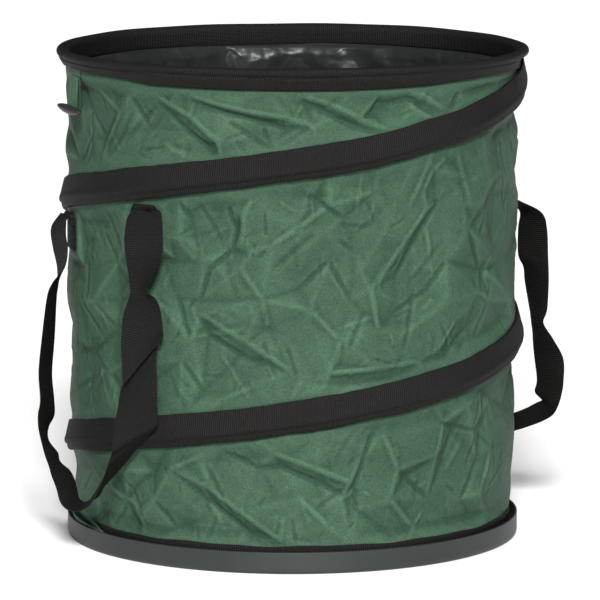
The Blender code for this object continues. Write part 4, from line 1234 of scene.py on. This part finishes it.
# Both edges of the left handle's webbing, then its curl, in millimetres. It is folded
# slantwise twice on its front leg, and turns over once on its rear leg.
LEFT_STRAP = (
    (-154.9, -172.6, 356.9, -139.5, -191.0, 356.9, 0.0),
    (-158.2, -176.1, 351.5, -129.3, -192.9, 354.7, 0.6),
    (-162.0, -180.0, 344.1, -127.4, -194.0, 345.0, 0.8),
    (-164.2, -190.2, 327.7, -126.5, -198.8, 328.9, 1.0),
    (-162.8, -190.7, 310.0, -126.8, -204.3, 314.9, 1.2),
    (-159.5, -188.9, 291.9, -130.6, -208.1, 301.7, 3.0),
    (-157.2, -188.0, 280.9, -138.4, -208.0, 285.9, 5.0),
    (-156.7, -188.1, 274.0, -140.9, -207.9, 278.0, 5.4),
    (-160.7, -188.7, 264.2, -133.2, -207.3, 271.0, 3.4),
    (-165.0, -192.6, 253.9, -129.4, -204.4, 260.6, 1.4),
    (-167.3, -199.0, 238.0, -127.6, -199.0, 246.9, 1.0),
    (-167.6, -199.5, 218.3, -126.7, -199.5, 237.1, 0.8),
    (-166.6, -202.0, 192.9, -126.6, -202.0, 232.6, 0.8),
    (-165.4, -201.5, 184.3, -128.1, -201.5, 229.5, 0.6),
    (-167.2, -196.0, 181.4, -131.7, -196.0, 225.6, 0.4),
    (-168.9, -195.5, 175.9, -133.3, -195.5, 209.7, 0.8),
    (-171.7, -196.5, 159.1, -132.9, -196.5, 178.0, 1.0),
    (-175.6, -198.5, 136.5, -132.5, -198.5, 155.5, 0.8),
    (-177.0, -200.0, 122.8, -131.9, -200.0, 147.8, 0.6),
    (-177.7, -198.5, 116.6, -133.4, -198.5, 142.5, 0.6),
    (-178.9, -192.5, 111.4, -141.0, -192.5, 133.4, 1.2),
    (-181.4, -196.0, 105.1, -153.3, -179.0, 118.0, 2.0),
    (-185.9, -194.1, 93.7, -169.7, -165.9, 96.5, 3.0),
    (-192.7, -186.9, 77.3, -183.0, -157.1, 80.7, 3.2),
    (-198.7, -175.6, 64.1, -189.3, -148.4, 71.9, 3.0),
    (-205.7, -163.7, 54.7, -194.8, -136.3, 60.5, 2.8),
    (-215.2, -150.9, 49.1, -205.5, -121.1, 52.5, 2.8),
    (-224.7, -138.8, 48.8, -213.0, -109.2, 53.2, 2.6),
    (-231.2, -128.2, 53.8, -215.4, -99.8, 59.6, 2.4),
    (-235.2, -120.9, 65.7, -218.2, -91.1, 68.1, 2.0),
    (-240.6, -114.3, 78.6, -223.5, -83.7, 77.0, 2.0),
    (-243.3, -109.4, 87.9, -233.3, -76.6, 84.8, 2.4),
    (-246.8, -104.7, 97.2, -235.7, -73.3, 93.5, 3.0),
    (-249.9, -100.3, 109.7, -246.2, -67.7, 104.8, 3.6),
    (-253.6, -97.3, 123.4, -245.4, -62.7, 117.2, 2.2),
    (-254.4, -94.7, 136.2, -240.1, -60.3, 129.1, 1.2),
    (-252.2, -93.2, 150.2, -240.3, -57.8, 145.0, 1.2),
    (-253.7, -90.3, 178.1, -242.4, -54.7, 171.1, 1.2),
    (-250.4, -87.4, 212.2, -239.7, -51.6, 206.5, 1.2),
    (-245.2, -84.4, 252.3, -237.6, -47.6, 245.7, 1.2),
    (-239.8, -82.9, 266.3, -235.9, -46.3, 259.8, 1.6),
    (-232.8, -81.4, 275.1, -235.9, -45.4, 269.8, 2.0),
    (-226.5, -80.4, 285.1, -236.9, -44.4, 280.9, 1.6),
    (-224.5, -78.8, 300.1, -240.3, -43.6, 295.1, 1.2),
    (-226.3, -77.0, 314.0, -243.0, -42.6, 311.2, 1.0),
    (-226.6, -73.9, 322.6, -241.7, -42.9, 320.4, 0.8),
    (-225.9, -70.4, 330.2, -236.2, -44.0, 328.7, 0.4),
    (-221.1, -67.0, 333.1, -233.1, -46.2, 333.1, 0.0),
)
# The other handle, as it would lie on the left: its seen leg stands further out
RIGHT_STRAP = (
    (-154.9, -172.6, 356.9, -139.5, -191.0, 356.9, 0.0),
    (-159.6, -173.0, 346.0, -134.4, -195.8, 346.0, 0.8),
    (-163.2, -176.4, 328.0, -131.6, -197.6, 328.0, 1.2),
    (-164.7, -180.1, 300.0, -131.7, -199.1, 300.0, 1.2),
    (-166.4, -183.5, 266.0, -132.8, -201.3, 266.0, 1.4),
    (-166.8, -183.6, 236.0, -136.0, -204.4, 236.0, 1.6),
    (-170.3, -185.5, 208.0, -137.3, -204.5, 208.0, 1.2),
    (-172.9, -183.8, 183.3, -141.5, -205.0, 180.7, 1.2),
    (-177.0, -178.6, 161.1, -149.8, -201.4, 154.9, 1.8),
    (-182.3, -171.2, 144.0, -162.5, -193.2, 132.0, 2.6),
    (-190.6, -162.1, 131.7, -178.2, -177.9, 112.3, 3.0),
    (-211.4, -149.3, 92.1, -205.7, -136.7, 74.5, 3.0),
    (-230.0, -130.6, 98.0, -227.8, -113.4, 81.6, 2.8),
    (-243.9, -114.2, 106.2, -247.7, -93.8, 91.3, 2.6),
    (-253.8, -103.8, 113.4, -261.6, -80.2, 99.5, 2.2),
    (-260.0, -97.6, 117.5, -270.4, -70.4, 107.6, 1.8),
    (-255.8, -93.4, 121.6, -275.1, -66.6, 117.2, 1.4),
    (-252.0, -90.5, 127.8, -278.2, -65.5, 127.9, 1.2),
    (-254.0, -88.9, 140.2, -280.0, -63.1, 142.0, 1.2),
    (-251.0, -85.7, 164.0, -279.6, -61.3, 166.0, 1.4),
    (-248.6, -85.1, 181.0, -268.0, -55.9, 187.0, 3.2),
    (-246.6, -82.9, 200.7, -256.6, -53.5, 204.7, 4.4),
    (-243.6, -81.6, 221.0, -261.0, -52.4, 219.0, 3.0),
    (-240.0, -80.5, 246.0, -263.0, -50.7, 244.0, 1.4),
    (-238.6, -78.8, 260.0, -263.0, -50.0, 260.0, 1.2),
    (-233.0, -75.3, 274.0, -262.6, -51.5, 274.0, 1.0),
    (-232.8, -73.5, 302.0, -261.0, -48.1, 304.0, 1.0),
    (-234.0, -72.0, 319.0, -255.0, -45.2, 321.0, 1.0),
    (-221.1, -67.0, 333.1, -233.1, -46.2, 333.1, 0.0),
)
for side, turn, strap in (("left", 0.0, LEFT_STRAP), ("right", 180.0, RIGHT_STRAP)):
    rows = np.array(strap) / 1000
    if side == "right":
        rows[:, [0, 1, 3, 4]] *= -1
    loop = ribbon(f"handle_{side}_strap", rows)
    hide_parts(f"handle_{side}_loop")
    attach(loop, f"handle_{side}_loop")
    # Which side the handle is on, and the middle of the line between its loop's two folds
    facing = 1.0 if side == "left" else -1.0
    middle = (-0.1870 * facing, -0.1192 * facing, 0.3448)
    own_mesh(loop)
    for where, azimuth, top in (("front", -39.0, 0.35833), ("rear", -76.0, 0.33450)):
        azimuth = azimuth + turn
        sewn_top = top - FOLD_HEIGHT - SEWN_BELOW_FOLD
        sewn = on_wall(
            f"handle_{side}_{where}_sewn_end",
            azimuth,
            [
                (sewn_top - SEWN_LENGTH, 0.0016, 1.0, 0.0),
                (sewn_top - SEWN_LENGTH / 2, 0.0015, 1.0, 0.0),
                (sewn_top, 0.0014, 1.0, 0.0),
            ],
        )
        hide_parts(f"handle_{side}_{where}_end")
        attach(sewn, "base")
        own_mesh(sewn)
        pivot = top - CROWN_DROP
        fold = on_wall(
            f"handle_{side}_{where}_folded_top",
            azimuth,
            [
                (top - FOLD_HEIGHT, 0.0014, 1.0, 0.0),
                (pivot - 0.0030, 0.0014, 0.97, 0.4),
                (pivot + 0.0002, 0.0015, 0.90, 1.0),
                (pivot + 0.0016, 0.0022, 0.84, 1.0),
                (pivot + 0.0021, 0.0033, 0.80, 1.0),
                (pivot + 0.0016, 0.0044, 0.77, 1.0),
                (pivot + 0.0002, 0.0051, 0.75, 1.0),
                (pivot - 0.0012, 0.0053, 0.74, 1.0),
            ],
            FOLD_CORNER,
        )
        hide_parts(f"handle_{side}_{where}_fold")
        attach(fold, f"handle_{side}_folds")

# Toggles and tapes: a folded tape of the wall's green cloth hangs under the rim, and holds
# a boat-shaped bar of moulded nylon on a pin. Hooked in the foot loops, the two bars hold
# the bag flat. The tape has twisted a little, and the bar hangs at a slant.
# The tape's root by radius and height, how far it drops and leans, and its eye's depth
TOGGLE_ROOT = (0.23065, 0.47495)
TOGGLE_DROP = 0.0382
TOGGLE_LEAN = 0.003
TOGGLE_EYE = 0.0345
TOGGLE_TWIST = 13.0
TOGGLE_SLANT = 6.0
TOGGLE_HALF = 0.0225
TOGGLE_THICK = 0.0045
# How clear of its tape the bar is, and how far along and above the eye its middle lies
TOGGLE_CLEAR = 0.0040
TOGGLE_ALONG = 0.0072
TOGGLE_UP = 0.0035
TOGGLE_BELLY = 0.0009
TAPE_LAYER = 0.0007
# A layer's two edges from the tape's middle, and how far in front it is at shares of its drop
FRONT_LAYER = (-0.0125, 0.0080, ((0.0, 0.0004), (0.5, 0.0006), (0.85, 0.0005), (1.0, 0.0004)))
REAR_LAYER = (-0.0105, 0.0125, ((0.0, -0.0004), (0.5, -0.0018), (1.0, -0.0004)))
REAR_SHORTER = 0.0006
# The root: half its width, its heights, and how far its front and back are set back
ROOT_HALF = 0.0120
ROOT_HEIGHTS = (0.4753, 0.4790, 0.4826)
ROOT_SETBACKS = (0.0004, 0.0011)
folded_cloth = coated_polyester.copy()
folded_cloth.name = "folded green polyester tape"
tape_painted_shade_node = next(n for n in folded_cloth.node_tree.nodes if n.bl_idname == "ShaderNodeAttribute")
tape_painted_shade_node.attribute_name = "tape_painted_shade"


def painted_shade_on(piece, share):
    """Painted shade on a tape piece, the same all over: 0 darkest, 1 the cloth's own colour."""
    values = np.full(len(piece.data.vertices), share, np.float32)
    piece.data.attributes.new("tape_painted_shade", "FLOAT", "POINT").data.foreach_set("value", values)


def tape_layer(name, azimuth, low, high, fronts, drop):
    """One layer of a toggle's tape: how far in front of the tape's middle at each share."""
    shares = np.linspace(0.0, 1.0, 16)
    front = np.interp(shares, *zip(*fronts))
    turned = np.radians(azimuth + TOGGLE_TWIST * smooth_step(0.0, 1.0, shares))
    start = polar(azimuth, TOGGLE_ROOT[0], TOGGLE_ROOT[1])
    out = polar(azimuth, 1.0, 0.0)
    centres = start + out * (TOGGLE_LEAN * shares)[:, None]
    centres = centres - np.array((0, 0, drop)) * shares[:, None]
    across = np.stack([np.cos(turned), np.sin(turned), 0 * turned], -1)
    facing = np.stack([np.sin(turned), -np.cos(turned), 0 * turned], -1)
    loops = []
    for spot, side in both_faces(np.linspace(low, high, 7)):
        ripple = 0.0005 * np.minimum(1.0, 4 * shares) * np.sin(spot * 420 + 5 * shares)
        off = front + ripple + side * TAPE_LAYER / 2
        loops.append(centres + across * spot + facing * off[:, None])
    return strip_of(name, loops, folded_cloth)


for side, azimuth in (("left", -69.5), ("right", 125.5)):
    front = tape_layer(f"toggle_{side}_tape_front", azimuth, *FRONT_LAYER, TOGGLE_DROP)
    rear_drop = TOGGLE_DROP - REAR_SHORTER
    rear = tape_layer(f"toggle_{side}_tape_rear", azimuth, *REAR_LAYER, rear_drop)
    # Painted shade: the rear layer is darkened as if in the front layer's shadow; the front layer keeps
    # the cloth's own colour
    painted_shade_on(front, 0.85)
    painted_shade_on(rear, 0.35)
    # The tape's sewn root, under the rim's edge
    spots = azimuth + np.degrees(np.linspace(-ROOT_HALF, ROOT_HALF, 9) / TOGGLE_ROOT[0])
    front_radius, back_radius = [TOGGLE_ROOT[0] - setback for setback in ROOT_SETBACKS]
    loops = [polar(spots, front_radius, height) for height in ROOT_HEIGHTS]
    loops += [polar(spots, back_radius, height) for height in ROOT_HEIGHTS[::-1]]
    root = strip_of(f"toggle_{side}_tape_root", loops, folded_cloth)
    painted_shade_on(root, 0.8)
    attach(root, "rim")
    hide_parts(f"toggle_{side}_tape")
    for layer in (front, rear):
        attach(layer, f"toggle_{side}_tape")
    turned = math.radians(azimuth + TOGGLE_TWIST)
    along = np.array((math.cos(turned), math.sin(turned), 0.0))
    facing = np.array((math.sin(turned), -math.cos(turned), 0.0))
    slant = math.radians(TOGGLE_SLANT)
    bar_along = along * math.cos(slant) - np.array((0, 0, math.sin(slant)))
    bar_up = along * math.sin(slant) + np.array((0, 0, math.cos(slant)))
    eye = polar(azimuth, TOGGLE_ROOT[0] + TOGGLE_LEAN * TOGGLE_EYE / TOGGLE_DROP, 0.0)
    eye = eye + np.array((0, 0, TOGGLE_ROOT[1] - TOGGLE_EYE))
    middle = eye + facing * (TOGGLE_CLEAR + TOGGLE_THICK) + along * TOGGLE_ALONG
    middle = middle + np.array((0, 0, TOGGLE_UP))
    rows = []
    for share in np.sin(np.linspace(-math.pi / 2, math.pi / 2, 25)):
        girth = max(0.06, (1 - abs(share) ** 2.3) ** 0.72)
        belly = -TOGGLE_BELLY * (1 - share * share)
        centre = middle + bar_along * (TOGGLE_HALF * share) + bar_up * belly
        angles = np.linspace(0, 2 * math.pi, 20, endpoint=False)
        high = np.sign(np.cos(angles)) * np.abs(np.cos(angles)) ** 0.85 * TOGGLE_THICK * girth
        deep = np.sin(angles) * TOGGLE_THICK * (0.25 + 0.75 * girth) * min(1.0, 3 * girth)
        rows.append(centre + bar_up * high[:, None] + facing * deep[:, None])
    bar = lofted(f"toggle_{side}_bar", np.array(rows), moulded_nylon, round_columns=True, caps=True)
    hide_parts(f"toggle_{side}")
    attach(bar, f"toggle_{side}")

# Foot loops: each a loop of the same green cloth tape, sewn to the foot binding at its
# root. It stands on edge in the gap inside the tray's edge.
LOOP_ROOT_AZIMUTH = -58.0
LOOP_LAYER = 0.0011
LOOP_STEPS = 6
# Round the loop: degrees from its root, radius, height, half its width, lean in degrees
LOOP_ROWS = (
    (0.4, 0.22400, 0.0165, 0.0036, 0.0),
    (-1.8, 0.22395, 0.0180, 0.0050, 0.0),
    (-4.4, 0.22365, 0.0208, 0.0062, 4.0),
    (-8.0, 0.22350, 0.0242, 0.0070, 8.0),
    (-12.0, 0.22345, 0.0268, 0.0074, 10.0),
    (-16.0, 0.22345, 0.0280, 0.0074, 8.0),
    (-19.6, 0.22380, 0.0280, 0.0070, 4.0),
    (-21.2, 0.22530, 0.0268, 0.0066, 6.0),
    (-20.2, 0.22690, 0.0244, 0.0066, 14.0),
    (-16.4, 0.22725, 0.0216, 0.0068, 16.0),
    (-12.0, 0.22720, 0.0200, 0.0068, 16.0),
    (-8.0, 0.22690, 0.0190, 0.0064, 12.0),
    (-4.4, 0.22630, 0.0180, 0.0056, 8.0),
    (-1.8, 0.22560, 0.0172, 0.0046, 2.0),
)
for side, turn in (("left", 0.0), ("right", 195.0)):
    # Three laps are smoothed and the middle one is kept, so that the loop closes smoothly
    count = len(LOOP_ROWS) * LOOP_STEPS
    rows = smooth_rows(LOOP_ROWS * 3, LOOP_STEPS)[count : 2 * count]
    azimuth, radius, height, half, lean = rows.T
    azimuth = azimuth + LOOP_ROOT_AZIMUTH + turn
    centres = polar(azimuth, radius, height)
    ahead = np.roll(centres, -1, 0) - np.roll(centres, 1, 0)
    ahead[:, 2] = 0.0
    ahead /= np.linalg.norm(ahead, axis=1)[:, None]
    out = np.stack([ahead[:, 1], -ahead[:, 0], 0 * radius], -1)
    away = (out * polar(azimuth, 1.0, 0.0)).sum(1)
    rise = np.stack([0 * radius, 0 * radius, np.ones(len(radius))], -1)
    tilt = np.radians(lean)[:, None]
    up_tape = rise * np.cos(tilt) + out * np.sin(tilt) * np.sign(away)[:, None]
    loops = []
    for share, face in both_faces(np.linspace(-1, 1, 6)):
        loops.append(centres + up_tape * (half * share)[:, None] + out * (face * LOOP_LAYER / 2))
    tape = lofted(
        f"foot_loop_{side}_tape",
        np.stack(loops, 1),
        folded_cloth,
        round_rows=True,
        round_columns=True,
        sharp=50.0,
    )
    painted_shade_on(tape, 0.9)
    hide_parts(f"foot_loop_{side}")
    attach(tape, f"foot_loop_{side}")
